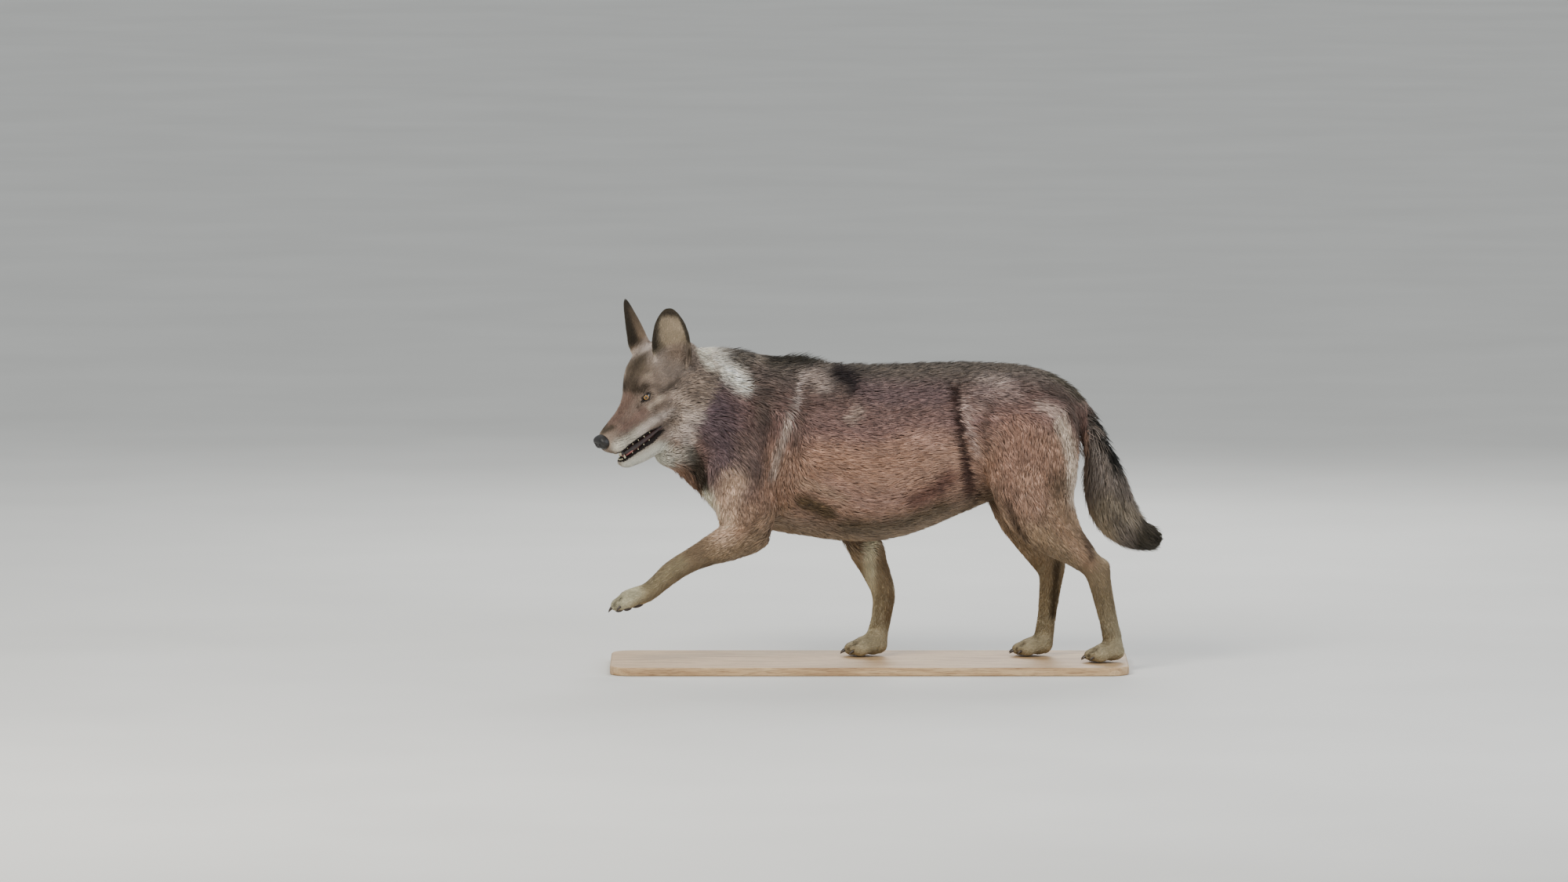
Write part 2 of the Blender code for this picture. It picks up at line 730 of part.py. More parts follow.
def ears(head_piece, home, cutters):
    """Each ear stands on the head, cut to its surface."""
    for name, side in (("ear_left", 1), ("ear_right", -1)):
        ear = add_object(name, mesh_from(name, ear_shape(side)), home)
        wall = ear.modifiers.new("Thickness", "SOLIDIFY")
        wall.thickness = EAR_THICKNESS * HEAD_SCALE
        wall.offset = 0
        apply_modifiers(ear)
        head_copy = add_object(name + "_seat", head_piece.data.copy(), cutters)
        head_copy.hide_render = True
        head_copy.display_type = "WIRE"
        swell = head_copy.modifiers.new("Gap", "DISPLACE")
        swell.strength = CUT
        swell.mid_level = 0
        apply_modifiers(head_copy)
        boolean(ear, "DIFFERENCE", head_copy)
        keep_largest(ear)


def keep_largest(piece):
    """Drops the small loose bits that a cut can leave."""
    bm = bmesh.new()
    bm.from_mesh(piece.data)
    left, islands = set(bm.verts), []
    while left:
        island, edge = set(), [left.pop()]
        while edge:
            vertex = edge.pop()
            island.add(vertex)
            for link in vertex.link_edges:
                other = link.other_vert(vertex)
                if other in left:
                    left.discard(other)
                    edge.append(other)
        islands.append(island)
    islands.sort(key=len)
    for island in islands[:-1]:
        bmesh.ops.delete(bm, geom=list(island), context="VERTS")
    bm.to_mesh(piece.data)
    bm.free()


def round_piece(name, centre, radii, home, segments, rings):
    def build(bm):
        matrix = HEAD @ Matrix.Translation(centre) @ Matrix.Diagonal((*radii, 1))
        bmesh.ops.create_uvsphere(bm, u_segments=segments, v_segments=rings, radius=1, matrix=matrix)

    return add_object(name, mesh_from(name, build), home)


def seat(piece, centre, radii, head_piece, cutters, segments, rings):
    """Makes room in the head for a round piece."""
    room = [r + CUT for r in radii]
    cutter = round_piece(piece.name + "_room", centre, room, cutters, segments, rings)
    cutter.hide_render = True
    cutter.display_type = "WIRE"
    boolean(head_piece, "DIFFERENCE", cutter)


def eyes_and_nose(head_piece, home, cutters):
    for name, side in (("eye_left", 1), ("eye_right", -1)):
        centre, radii = in_head(EYE.x, EYE.y * side, EYE.z), [EYE_RADIUS] * 3
        eye = round_piece(name, centre, radii, home, 16, 9)
        seat(eye, centre, radii, head_piece, cutters, 16, 9)
    centre = in_head(*NOSE)
    radii = (NOSE_DEPTH / 2, NOSE_WIDTH / 2, NOSE_HEIGHT / 2)
    nose = round_piece("nose", centre, radii, home, 14, 9)
    seat(nose, centre, radii, head_piece, cutters, 14, 9)


# --- Base --------------------------------------------------------------------------------
def display_base(home):
    """A flat board with round corners and softened edges."""
    def build(bm):
        bmesh.ops.create_cube(bm, size=1)
        bmesh.ops.scale(bm, vec=(BASE_LENGTH, BASE_WIDTH, BASE_THICKNESS), verts=bm.verts)
        upright = [e for e in bm.edges if abs(e.verts[0].co.z - e.verts[1].co.z) > 1e-6]
        bmesh.ops.bevel(bm, geom=upright, offset=BASE_CORNER, segments=5, affect="EDGES", profile=0.5)
        rims = [e for e in bm.edges if abs(e.verts[0].co.z - e.verts[1].co.z) < 1e-6]
        bmesh.ops.bevel(bm, geom=rims, offset=BASE_EDGE, segments=1, affect="EDGES", profile=0.5)
        bmesh.ops.translate(bm, vec=(BASE_CENTRE_X, 0, BASE_THICKNESS / 2), verts=bm.verts)

    return add_object("stand_base", mesh_from("stand_base", build), home)


# --- Finish ------------------------------------------------------------------------------
def paint(piece, material):
    piece.data.materials.clear()
    piece.data.materials.append(material)


def make_materials():
    made = {}
    for name, (colour, roughness) in MATERIALS.items():
        material = bpy.data.materials.new(name)
        material.use_nodes = True
        surface = material.node_tree.nodes["Principled BSDF"]
        surface.inputs["Base Color"].default_value = (*colour, 1)
        surface.inputs["Roughness"].default_value = roughness
        surface.inputs["Metallic"].default_value = 0
        made[name] = material
    return made


def material_of(name):
    for start, material in OTHER_MATERIALS.items():
        if name.startswith(start):
            return material
    return "coat"


def centre_on_origin(home):
    """The origin is below the middle of the whole model's box."""
    corners = np.array([v.co for piece in home.objects for v in piece.data.vertices])
    middle = (corners.min(0) + corners.max(0)) / 2
    for piece in home.objects:
        piece.data.transform(Matrix.Translation((-middle[0], -middle[1], 0)))


def main():
    clear_scene()
    home, cutters = collection("wolf"), collection("cutters")
    body = fuse(home)
    shape_face(body)
    flatten_soles(body)
    thin_out(body)
    flatten_soles(body)
    pieces = part_body(body, home, cutters)
    head_piece = pieces[0]
    ears(head_piece, home, cutters)
    eyes_and_nose(head_piece, home, cutters)
    display_base(home)
    for cutter in list(cutters.objects):
        bpy.data.objects.remove(cutter)
    materials = make_materials()
    for piece in home.objects:
        paint(piece, materials[material_of(piece.name)])
        piece.data.shade_smooth()
    centre_on_origin(home)


main()
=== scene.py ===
# %% [markdown]
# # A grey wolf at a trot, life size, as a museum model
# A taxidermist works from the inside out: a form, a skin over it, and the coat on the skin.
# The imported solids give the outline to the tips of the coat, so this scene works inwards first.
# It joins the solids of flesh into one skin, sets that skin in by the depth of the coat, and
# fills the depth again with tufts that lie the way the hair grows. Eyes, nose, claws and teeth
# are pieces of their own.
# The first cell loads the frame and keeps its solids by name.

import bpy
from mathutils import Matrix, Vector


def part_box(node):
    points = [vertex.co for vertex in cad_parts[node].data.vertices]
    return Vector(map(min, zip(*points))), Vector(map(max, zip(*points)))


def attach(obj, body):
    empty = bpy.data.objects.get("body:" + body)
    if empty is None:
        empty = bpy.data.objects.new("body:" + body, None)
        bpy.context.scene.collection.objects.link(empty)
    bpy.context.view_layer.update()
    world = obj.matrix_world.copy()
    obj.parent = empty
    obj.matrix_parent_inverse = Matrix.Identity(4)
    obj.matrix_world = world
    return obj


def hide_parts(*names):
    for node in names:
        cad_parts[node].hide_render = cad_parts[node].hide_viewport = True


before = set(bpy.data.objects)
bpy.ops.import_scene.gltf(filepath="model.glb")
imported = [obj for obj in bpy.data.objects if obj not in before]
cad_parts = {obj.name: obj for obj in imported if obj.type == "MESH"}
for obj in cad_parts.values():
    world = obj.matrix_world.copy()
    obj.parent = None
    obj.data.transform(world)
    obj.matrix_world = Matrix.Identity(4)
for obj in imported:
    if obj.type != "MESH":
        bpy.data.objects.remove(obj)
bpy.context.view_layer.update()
print("solids:", sorted(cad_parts))

# %% [markdown]
# ## Where things are
# A maker marks two sets of axes before anything is shaped. Places on the body are measured
# from the display board: x along it and z up from its top. Places on the head are measured
# from the tip of the nose: back, out to the wolf's left, and up. The head is turned and
# lowered, so its axes are worked out from the solids of the nose and the two eyes, which keeps
# the face together whatever the pose.

# %% Axes of the body and the head
import math

import bmesh
import bpy
import numpy as np
from mathutils import Matrix, Vector
from mathutils.bvhtree import BVHTree

MM = 0.001
BEHIND_MIDDLE, PAW_GAP = 0.030, 0.0004  # of the body's origin, from the board's middle and top


def middle_of(node):
    low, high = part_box(node)
    return np.array((low + high) / 2)


board_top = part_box("stand_base")[1].z
BODY_ORIGIN = np.array((middle_of("stand_base")[0] + BEHIND_MIDDLE, 0, board_top + PAW_GAP))

left_eye, right_eye, nose_middle = (middle_of(n) for n in ("eye_left", "eye_right", "nose"))
# places of the eyes and of the middle of the nose pad on a head of full size
EYE_BACK, EYE_OUT, EYE_UP = 0.1330, 0.0330, 0.0335
NOSE_BACK, NOSE_UP = 0.0110, -0.0030
HEAD_SCALE = np.linalg.norm(left_eye - right_eye) / (2 * EYE_OUT)
out_axis = (left_eye - right_eye) / np.linalg.norm(left_eye - right_eye)
sight = (left_eye + right_eye) / 2 - nose_middle
sight /= np.linalg.norm(sight)
rise = np.cross(out_axis, sight)
slope = math.atan2(EYE_UP - NOSE_UP, EYE_BACK - NOSE_BACK)
back_axis = math.cos(slope) * sight - math.sin(slope) * rise
up_axis = math.sin(slope) * sight + math.cos(slope) * rise
HEAD_AXES = np.array((back_axis, out_axis, up_axis)) * HEAD_SCALE
HEAD_ORIGIN = nose_middle - np.array((NOSE_BACK, 0, NOSE_UP)) @ HEAD_AXES


def from_head(points):
    """World places of points given as back, out, up from the tip of the nose."""
    return np.asarray(points, float) @ HEAD_AXES + HEAD_ORIGIN


def to_head(points):
    return (np.asarray(points) - HEAD_ORIGIN) @ HEAD_AXES.T / HEAD_SCALE**2


print("head scale", round(float(HEAD_SCALE), 3), "nose tip", np.round(from_head((0, 0, 0)), 3))

# %% [markdown]
# ## The skin's first shape
# On a mount the skin is one piece, from the lips to the tail. The solids are parted by thin
# cuts, so copies of them are merged, swollen by half a millimetre until they overlap, and
# remeshed on a fine grid, which leaves a single closed surface. The eye and nose solids go in
# as well, so that the sockets are filled and can be shaped again as lids. Smoothing takes the
# flat facets out of the solids.

# %% One surface from the solids
FLESH = ["head", "lower_jaw", "neck", "trunk", "tail", "ear_left", "ear_right"]
FLESH += [f"{leg}_{side}" for leg in ("foreleg", "hindleg") for side in ("left", "right")]
SWELL = 0.5 * MM
WELD = 0.01 * MM  # corners closer than this are one
GRAIN = 2.3 * MM  # of the remesh
FACET_PASSES = 12  # of smoothing, to lose the flat facets


def add_object(name, mesh):
    made = bpy.data.objects.new(name, mesh)
    bpy.context.scene.collection.objects.link(made)
    return made


def merged_copy(node):
    """A node's triangles joined at their corners, with the surface swollen a little."""
    bm = bmesh.new()
    bm.from_mesh(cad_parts[node].data)
    bmesh.ops.remove_doubles(bm, verts=bm.verts, dist=WELD)
    bm.normal_update()
    for vertex in bm.verts:
        vertex.co += vertex.normal * SWELL
    mesh = bpy.data.meshes.new(node)
    bm.to_mesh(mesh)
    bm.free()
    return mesh


def add_smoothing(piece, name, passes, group=""):
    smooth = piece.modifiers.new(name, "SMOOTH")
    smooth.factor = 0.5
    smooth.iterations = passes
    smooth.vertex_group = group


def apply_modifiers(piece):
    graph = bpy.context.evaluated_depsgraph_get()
    piece.data = bpy.data.meshes.new_from_object(piece.evaluated_get(graph))
    piece.modifiers.clear()


def points_of(mesh):
    points = np.empty(len(mesh.vertices) * 3)
    mesh.vertices.foreach_get("co", points)
    return points.reshape(-1, 3)


def normals_of(mesh):
    normals = np.empty(len(mesh.vertices) * 3)
    mesh.vertex_normals.foreach_get("vector", normals)
    return normals.reshape(-1, 3)


def set_points(mesh, points):
    mesh.vertices.foreach_set("co", np.asarray(points, np.float32).ravel())
    mesh.update()


joined = bmesh.new()
for node in FLESH + ["eye_left", "eye_right", "nose"]:
    joined.from_mesh(merged_copy(node))
skin_mesh = bpy.data.meshes.new("skin")
joined.to_mesh(skin_mesh)
joined.free()
skin = add_object("skin", skin_mesh)
remesh = skin.modifiers.new("One surface", "REMESH")
remesh.mode = "VOXEL"
remesh.voxel_size = GRAIN
add_smoothing(skin, "No facets", FACET_PASSES)
apply_modifiers(skin)
print("skin:", len(skin.data.vertices), "vertices")

# %% [markdown]
# ## The lie of the coat
# Hair grows in streams: from the nose over the crown and along the back, down the shoulders
# and legs, and out along the tail. Combing each tuft by hand would take weeks, so the streams
# are drawn once, as guide lines. Each line carries the hair's length and how deep the coat is
# there. A point of the skin takes its direction and its values from the lines near it, the
# nearest counting most, so one stream runs into the next with no seam.

# %% Guide lines
# per kind of coat, in millimetres: depth, length of hair, width of a tuft, space between roots
COATS = {
    "lips": (0.9, 4.5, 0.8, 1.35),
    "face": (2.2, 10, 1.1, 1.7),
    "cheek": (9, 26, 1.6, 2.4),
    "ear": (1.0, 7, 1.0, 1.5),
    "ruff": (17, 46, 2.2, 3.0),
    "mane": (20, 54, 2.4, 3.2),
    "back": (14, 46, 2.1, 3.2),
    "flank": (11, 40, 2.0, 3.2),
    "belly": (9, 36, 2.1, 3.5),
    "upper_leg": (6, 26, 1.8, 2.8),
    "thigh": (9, 34, 2.0, 3.05),
    "shank": (2.8, 15, 1.25, 1.8),
    "paw": (1.8, 9, 1.1, 1.65),
    "tail": (20, 60, 2.3, 3.0),
}
BOTH, MID = "both sides", "middle"
# name of the coat, side, and places on the head: back, out, up
HEAD_GUIDES = [
    ("lips", MID, [(-0.004, 0, -0.020), (0.020, 0, 0.012), (0.050, 0, 0.021)]),
    ("face", MID, [(0.050, 0, 0.021), (0.080, 0, 0.027), (0.110, 0, 0.038), (0.140, 0, 0.058)]),
    ("face", MID, [(0.140, 0, 0.058), (0.178, 0, 0.080), (0.215, 0, 0.089)]),
    ("cheek", MID, [(0.230, 0, 0.088), (0.270, 0, 0.082), (0.305, 0, 0.066)]),
    ("lips", BOTH, [(0.012, 0.016, -0.026), (0.040, 0.028, -0.030), (0.075, 0.031, -0.034)]),
    ("lips", BOTH, [(0.080, 0.031, -0.034), (0.115, 0.038, -0.038), (0.140, 0.044, -0.044)]),
    ("face", BOTH, [(0.050, 0.028, -0.004), (0.090, 0.033, 0.002), (0.118, 0.040, 0.006)]),
    ("face", BOTH, [(0.118, 0.041, 0.010), (0.145, 0.057, 0.012), (0.172, 0.069, 0.012)]),
    ("face", BOTH, [(0.100, 0.020, 0.036), (0.135, 0.024, 0.060), (0.165, 0.040, 0.074)]),
    ("face", BOTH, [(0.165, 0.040, 0.074), (0.190, 0.052, 0.082), (0.205, 0.056, 0.086)]),
    ("face", BOTH, [(0.145, 0.048, 0.045), (0.175, 0.066, 0.045), (0.205, 0.076, 0.050)]),
    ("cheek", BOTH, [(0.172, 0.069, 0.012), (0.205, 0.080, 0.004), (0.235, 0.092, -0.010)]),
    ("cheek", BOTH, [(0.145, 0.052, -0.035), (0.175, 0.070, -0.045), (0.205, 0.088, -0.062)]),
    ("ruff", BOTH, [(0.205, 0.090, -0.040), (0.235, 0.100, -0.055), (0.262, 0.104, -0.080)]),
    ("face", BOTH, [(0.238, 0.078, 0.085), (0.245, 0.080, 0.070), (0.252, 0.083, 0.055)]),
    ("cheek", BOTH, [(0.262, 0.086, 0.035), (0.275, 0.090, 0.020), (0.290, 0.095, 0.000)]),
    ("lips", BOTH, [(0.024, 0.012, -0.070), (0.070, 0.022, -0.075), (0.115, 0.034, -0.070)]),
    ("face", MID, [(0.024, 0, -0.078), (0.070, 0, -0.091), (0.110, 0, -0.098)]),
    ("cheek", BOTH, [(0.110, 0.020, -0.098), (0.150, 0.035, -0.106), (0.190, 0.048, -0.115)]),
    ("ear", BOTH, [(0.221, 0.063, 0.091), (0.230, 0.072, 0.129), (0.241, 0.085, 0.182)]),
]
# name of the coat, side, and places on the body: x, y, z
BODY_GUIDES = [
    ("mane", MID, [(-0.385, -0.010, 0.668), (-0.320, 0, 0.655), (-0.250, 0, 0.650), (-0.190, 0, 0.648)]),
    ("mane", MID, [(-0.190, 0, 0.648), (-0.120, 0, 0.637), (-0.080, 0, 0.633)]),
    ("back", MID, [(-0.060, 0, 0.631), (0.060, 0, 0.636), (0.160, 0, 0.639), (0.240, 0, 0.638)]),
    ("back", MID, [(0.240, 0, 0.638), (0.320, 0, 0.628), (0.370, 0, 0.605), (0.410, 0, 0.575)]),
    ("ruff", BOTH, [(-0.400, 0.085, 0.590), (-0.345, 0.100, 0.560), (-0.290, 0.106, 0.525)]),
    ("ruff", BOTH, [(-0.400, 0.095, 0.510), (-0.350, 0.100, 0.470), (-0.315, 0.100, 0.430)]),
    ("mane", BOTH, [(-0.290, 0.085, 0.600), (-0.225, 0.090, 0.585), (-0.160, 0.092, 0.575)]),
    ("flank", BOTH, [(-0.235, 0.112, 0.530), (-0.228, 0.115, 0.470), (-0.240, 0.112, 0.410)]),
    ("flank", BOTH, [(-0.150, 0.105, 0.560), (-0.020, 0.108, 0.555), (0.120, 0.100, 0.560)]),
    ("flank", BOTH, [(-0.150, 0.118, 0.470), (-0.020, 0.122, 0.455), (0.120, 0.110, 0.470)]),
    ("flank", BOTH, [(-0.150, 0.112, 0.370), (-0.030, 0.115, 0.350), (0.110, 0.102, 0.390)]),
    ("back", BOTH, [(0.120, 0.080, 0.600), (0.220, 0.078, 0.598), (0.320, 0.076, 0.580)]),
    ("thigh", BOTH, [(0.180, 0.095, 0.520), (0.240, 0.098, 0.490), (0.270, 0.112, 0.430)]),
    ("belly", BOTH, [(-0.220, 0.060, 0.285), (-0.050, 0.065, 0.265), (0.120, 0.060, 0.310)]),
    ("belly", MID, [(-0.300, 0, 0.290), (-0.150, 0, 0.258), (0.000, 0, 0.252), (0.150, 0, 0.300)]),
    ("belly", MID, [(0.150, 0, 0.300), (0.220, 0, 0.335), (0.300, 0, 0.370)]),
    ("ruff", MID, [(-0.445, -0.030, 0.420), (-0.420, -0.015, 0.370), (-0.385, 0, 0.325)]),
    ("mane", MID, [(-0.430, -0.015, 0.400), (-0.390, 0, 0.340), (-0.340, 0, 0.300)]),
    ("upper_leg", "left", [(-0.310, -0.115, 0.400), (-0.305, -0.122, 0.350), (-0.290, -0.122, 0.310)]),
    ("upper_leg", "left", [(-0.250, -0.112, 0.300), (-0.300, -0.118, 0.275), (-0.350, -0.116, 0.250)]),
    ("shank", "left", [(-0.360, -0.086, 0.240), (-0.430, -0.085, 0.206), (-0.485, -0.084, 0.162)]),
    ("paw", "left", [(-0.500, -0.084, 0.150), (-0.540, -0.084, 0.140), (-0.570, -0.084, 0.118)]),
    ("upper_leg", "right", [(-0.150, 0.118, 0.400), (-0.110, 0.120, 0.350), (-0.075, 0.116, 0.310)]),
    ("upper_leg", "right", [(-0.075, 0.112, 0.310), (-0.055, 0.108, 0.270), (-0.040, 0.100, 0.235)]),
    ("shank", "right", [(-0.030, 0.076, 0.215), (0.000, 0.069, 0.143), (-0.006, 0.063, 0.070)]),
    ("paw", "right", [(-0.012, 0.061, 0.055), (-0.040, 0.060, 0.040), (-0.080, 0.060, 0.018)]),
    ("thigh", "left", [(0.300, -0.122, 0.480), (0.300, -0.126, 0.400), (0.330, -0.118, 0.330)]),
    ("thigh", "left", [(0.395, -0.110, 0.500), (0.400, -0.105, 0.420), (0.395, -0.100, 0.340)]),
    ("upper_leg", "left", [(0.340, -0.115, 0.320), (0.375, -0.105, 0.272), (0.412, -0.095, 0.236)]),
    ("shank", "left", [(0.430, -0.073, 0.220), (0.462, -0.070, 0.170), (0.485, -0.067, 0.060)]),
    ("paw", "left", [(0.490, -0.065, 0.050), (0.465, -0.065, 0.038), (0.430, -0.065, 0.018)]),
    ("thigh", "right", [(0.295, 0.122, 0.480), (0.285, 0.126, 0.400), (0.290, 0.118, 0.330)]),
    ("thigh", "right", [(0.385, 0.105, 0.500), (0.375, 0.100, 0.420), (0.350, 0.095, 0.330)]),
    ("upper_leg", "right", [(0.295, 0.115, 0.310), (0.315, 0.105, 0.262), (0.338, 0.095, 0.218)]),
    ("shank", "right", [(0.355, 0.072, 0.195), (0.355, 0.069, 0.150), (0.344, 0.065, 0.060)]),
    ("paw", "right", [(0.340, 0.064, 0.050), (0.315, 0.063, 0.038), (0.280, 0.063, 0.018)]),
    ("tail", MID, [(0.420, 0, 0.550), (0.445, 0, 0.500), (0.460, 0, 0.440), (0.474, 0.001, 0.368)]),
    ("tail", MID, [(0.474, 0.001, 0.368), (0.490, 0.002, 0.318), (0.520, 0.004, 0.280)]),
    ("tail", MID, [(0.520, 0.004, 0.280), (0.560, 0.006, 0.262), (0.604, 0.009, 0.251)]),
]
GUIDE_STEP = 14 * MM  # between samples of a line
WAY_BLUR, VALUE_BLUR = 6 * MM, 15 * MM  # how slowly directions and values change between lines
BATCH = 20000  # points worked on at once


def guide_samples():
    """Places, directions, values and reach of all guide lines, sampled along their length."""
    places, ways, values = [], [], []
    for guides, to_world in ((HEAD_GUIDES, from_head), (BODY_GUIDES, lambda p: p + BODY_ORIGIN)):
        for coat, side, line in guides:
            for mirror in (1, -1) if side == BOTH else (1,):
                line_now = to_world(np.array(line) * (1, mirror, 1))
                for start, end in zip(line_now, line_now[1:]):
                    length = np.linalg.norm(end - start)
                    count = max(2, round(length / GUIDE_STEP))
                    for share in np.linspace(0, 1, count, endpoint=False):
                        places.append(start + (end - start) * share)
                        ways.append((end - start) / length)
                        values.append(COATS[coat])
    return np.array(places), np.array(ways), np.array(values) * MM


GUIDE_PLACES, GUIDE_WAYS, GUIDE_VALUES = guide_samples()


def coat_at(points, normals):
    """Direction of the hair along the surface, and the coat's four values, at each point."""
    ways, values = np.empty_like(points), np.empty((len(points), 4))
    for start in range(0, len(points), BATCH):
        part = slice(start, start + BATCH)
        apart = points[part, None, :] - GUIDE_PLACES
        apart = np.sum(apart**2, axis=2)
        # the direction follows the nearest line; the values change more slowly
        near = 1 / (apart + WAY_BLUR**2) ** 3
        ways[part] = near @ GUIDE_WAYS / near.sum(1, keepdims=True)
        near = 1 / (apart + VALUE_BLUR**2) ** 2.5
        values[part] = near @ GUIDE_VALUES / near.sum(1, keepdims=True)
    ways -= normals * np.sum(ways * normals, axis=1, keepdims=True)
    ways /= np.linalg.norm(ways, axis=1, keepdims=True) + 1e-9
    return ways, values


print(len(GUIDE_PLACES), "guide samples")

# %% [markdown]
# ## Setting the skin in
# Smooth flanks need few faces, while the muzzle and the rims of the eyes need many, so the
# surface is thinned first, with the face spared. The outline is the tips of the hair. The skin
# therefore lies inside it: about a millimetre on the lips and ears, a centimetre on the flank
# and two in the mane and the tail. A little smoothing afterwards keeps the bends of the limbs
# clean.

# %% The skin inside the coat
FACE_END, FACE_FADE = 0.190, 0.04  # back from the nose
FACE_BOX = (0.05, 0.11, 0.13)  # how far it reaches ahead of the nose, aside and up or down
BROW, BROW_REACH, BROW_CORE = (0.138, 0.030, 0.053), 18 * MM, 0.6
FACES_LEFT, FACE_SPARED = 0.13, 0.02
BEND_PASSES, BROW_PASSES = 10, 30  # of smoothing


def face_share(points):
    """1 on the face, falling to 0 behind the cheeks."""
    back, out, up = to_head(points).T
    ahead, aside, rise = FACE_BOX
    share = np.clip((FACE_END - back) / FACE_FADE, 0, 1) * (np.abs(out) < aside)
    return share * (np.abs(up) < rise) * (back > -ahead)


def brow_share(points):
    """1 on the brows over both eyes."""
    back, out, up = BROW
    apart = [np.linalg.norm(to_head(points) - (back, side * out, up), axis=1) for side in (-1, 1)]
    return np.clip(1 + BROW_CORE - np.minimum(*apart) / BROW_REACH, 0, 1)


def set_weights(piece, name, weights):
    """A vertex group in ten steps."""
    group = piece.vertex_groups.new(name=name)
    for level in range(1, 11):
        group.add(np.flatnonzero(np.round(weights * 10) == level).tolist(), level / 10, "REPLACE")


set_weights(skin, "face", face_share(points_of(skin.data)) * 0.9)
thin = skin.modifiers.new("Fewer faces", "DECIMATE")
thin.ratio = FACES_LEFT
thin.vertex_group = "face"
thin.vertex_group_factor = FACE_SPARED
thin.invert_vertex_group = True
apply_modifiers(skin)
skin.vertex_groups.clear()

outline, outward = points_of(skin.data), normals_of(skin.data)
depth = coat_at(outline, outward)[1][:, 0]
set_points(skin.data, outline - outward * depth[:, None])
set_weights(skin, "not the face", 1 - 0.8 * face_share(outline))
set_weights(skin, "brow", brow_share(outline))
add_smoothing(skin, "Clean bends", BEND_PASSES, "not the face")
add_smoothing(skin, "Even brow", BROW_PASSES, "brow")
apply_modifiers(skin)
skin.vertex_groups.clear()
print("skin inside the coat:", len(skin.data.polygons), "faces")

# %% [markdown]
# ## Lids round the eyes
# A glass eye is set deep, and the lids are drawn over it and tucked in behind their edge. The
# skin is a surface seen from the middle of each eye, so it can be shaped by angles: outside an
# almond-shaped opening it stays a lid's thickness above the ball, and inside the opening it
# dips behind the ball. A wolf's opening slants, with the inner corner low and drawn forward.
# The faces near the eyes are split twice first, so that the edge of the lid comes out crisp.

# %% Eye openings
EYE_RADIUS = 12.5 * MM
LID_RADIUS = 13.7 * MM  # of the outer face of the lids
UPPER_LID, LOWER_LID = math.radians(25), math.radians(25)  # heights of the opening
CORNER = math.radians(50)  # half its length
EYE_DEPTH = 1.5 * MM  # deeper in the head than the solid
FOLD_ABOVE, FOLD_WIDTH, FOLD_DEPTH = 4.0, 1.1, 0.6 * MM  # of the upper lid; the first two in mm
TUCK = 2.2 * MM  # how far behind the ball's face the skin dips in the opening
EYE_REACHES = (21 * MM, 17 * MM)  # of the two splits
SIDE_ANGLES = (1.4, 1.9)  # radians off the sight line, where the lids fade into the face


def head_direction(back, out, up):
    way = np.array((back, out, up)) @ HEAD_AXES
    return way / np.linalg.norm(way)


def eye_axes(side):
    """Rows: where the eye looks, along the opening to its outer corner, and up across it."""
    look = head_direction(-0.62, 0.76 * side, 0.12)
    along = head_direction(0.74, 0.58 * side, 0.38)
    along -= look * (along @ look)
    along /= np.linalg.norm(along)
    across = np.cross(look, along) * -side
    return np.array((look, along, across))


EYES = {
    name: (solid - eye_axes(side)[0] * EYE_DEPTH, side)
    for name, solid, side in (("left", left_eye, 1), ("right", right_eye, -1))
}


def seen_from_eye(points, centre, side):
    """Distance from the middle of the eye, and the two angles across the opening."""
    places = (points - centre) @ eye_axes(side).T
    away = np.linalg.norm(places, axis=1)
    along = np.arctan2(places[:, 1], places[:, 0])
    across = np.arcsin(np.clip(places[:, 2] / (away + 1e-9), -1, 1))
    return away, along, across


def lid_heights(along):
    """Angles of the upper and the lower edge of the opening."""
    round_off = np.clip(1 - (along / CORNER) ** 2, 0, None)
    return UPPER_LID * round_off**0.62, -LOWER_LID * round_off**0.80


def split_faces(mesh, chosen):
    """Splits the edges of the chosen faces once."""
    bm = bmesh.new()
    bm.from_mesh(mesh)
    bm.faces.ensure_lookup_table()
    edges = {edge for i in np.flatnonzero(chosen) for edge in bm.faces[i].edges}
    bmesh.ops.subdivide_edges(bm, edges=list(edges), cuts=1, use_grid_fill=True)
    bmesh.ops.triangulate(bm, faces=[f for f in bm.faces if len(f.verts) > 3])
    bm.to_mesh(mesh)
    bm.free()


def face_centres(mesh):
    centres = np.empty(len(mesh.polygons) * 3)
    mesh.polygons.foreach_get("center", centres)
    return centres.reshape(-1, 3)


for reach in EYE_REACHES:
    centres = face_centres(skin.data)
    near = np.zeros(len(centres), bool)
    for centre, side in EYES.values():
        away, along, across = seen_from_eye(centres, centre, side)
        near |= (away < reach) & (np.abs(along) < SIDE_ANGLES[1])
    split_faces(skin.data, near)


def smooth_step(value, start, end):
    share = np.clip((value - start) / (end - start), 0, 1)
    return share * share * (3 - 2 * share)


def higher_of(one, other, blend):
    """The larger of two distances, rounded where they cross."""
    apart = np.clip(blend - np.abs(one - other), 0, None) / blend
    return np.maximum(one, other) + blend * apart**2 / 4


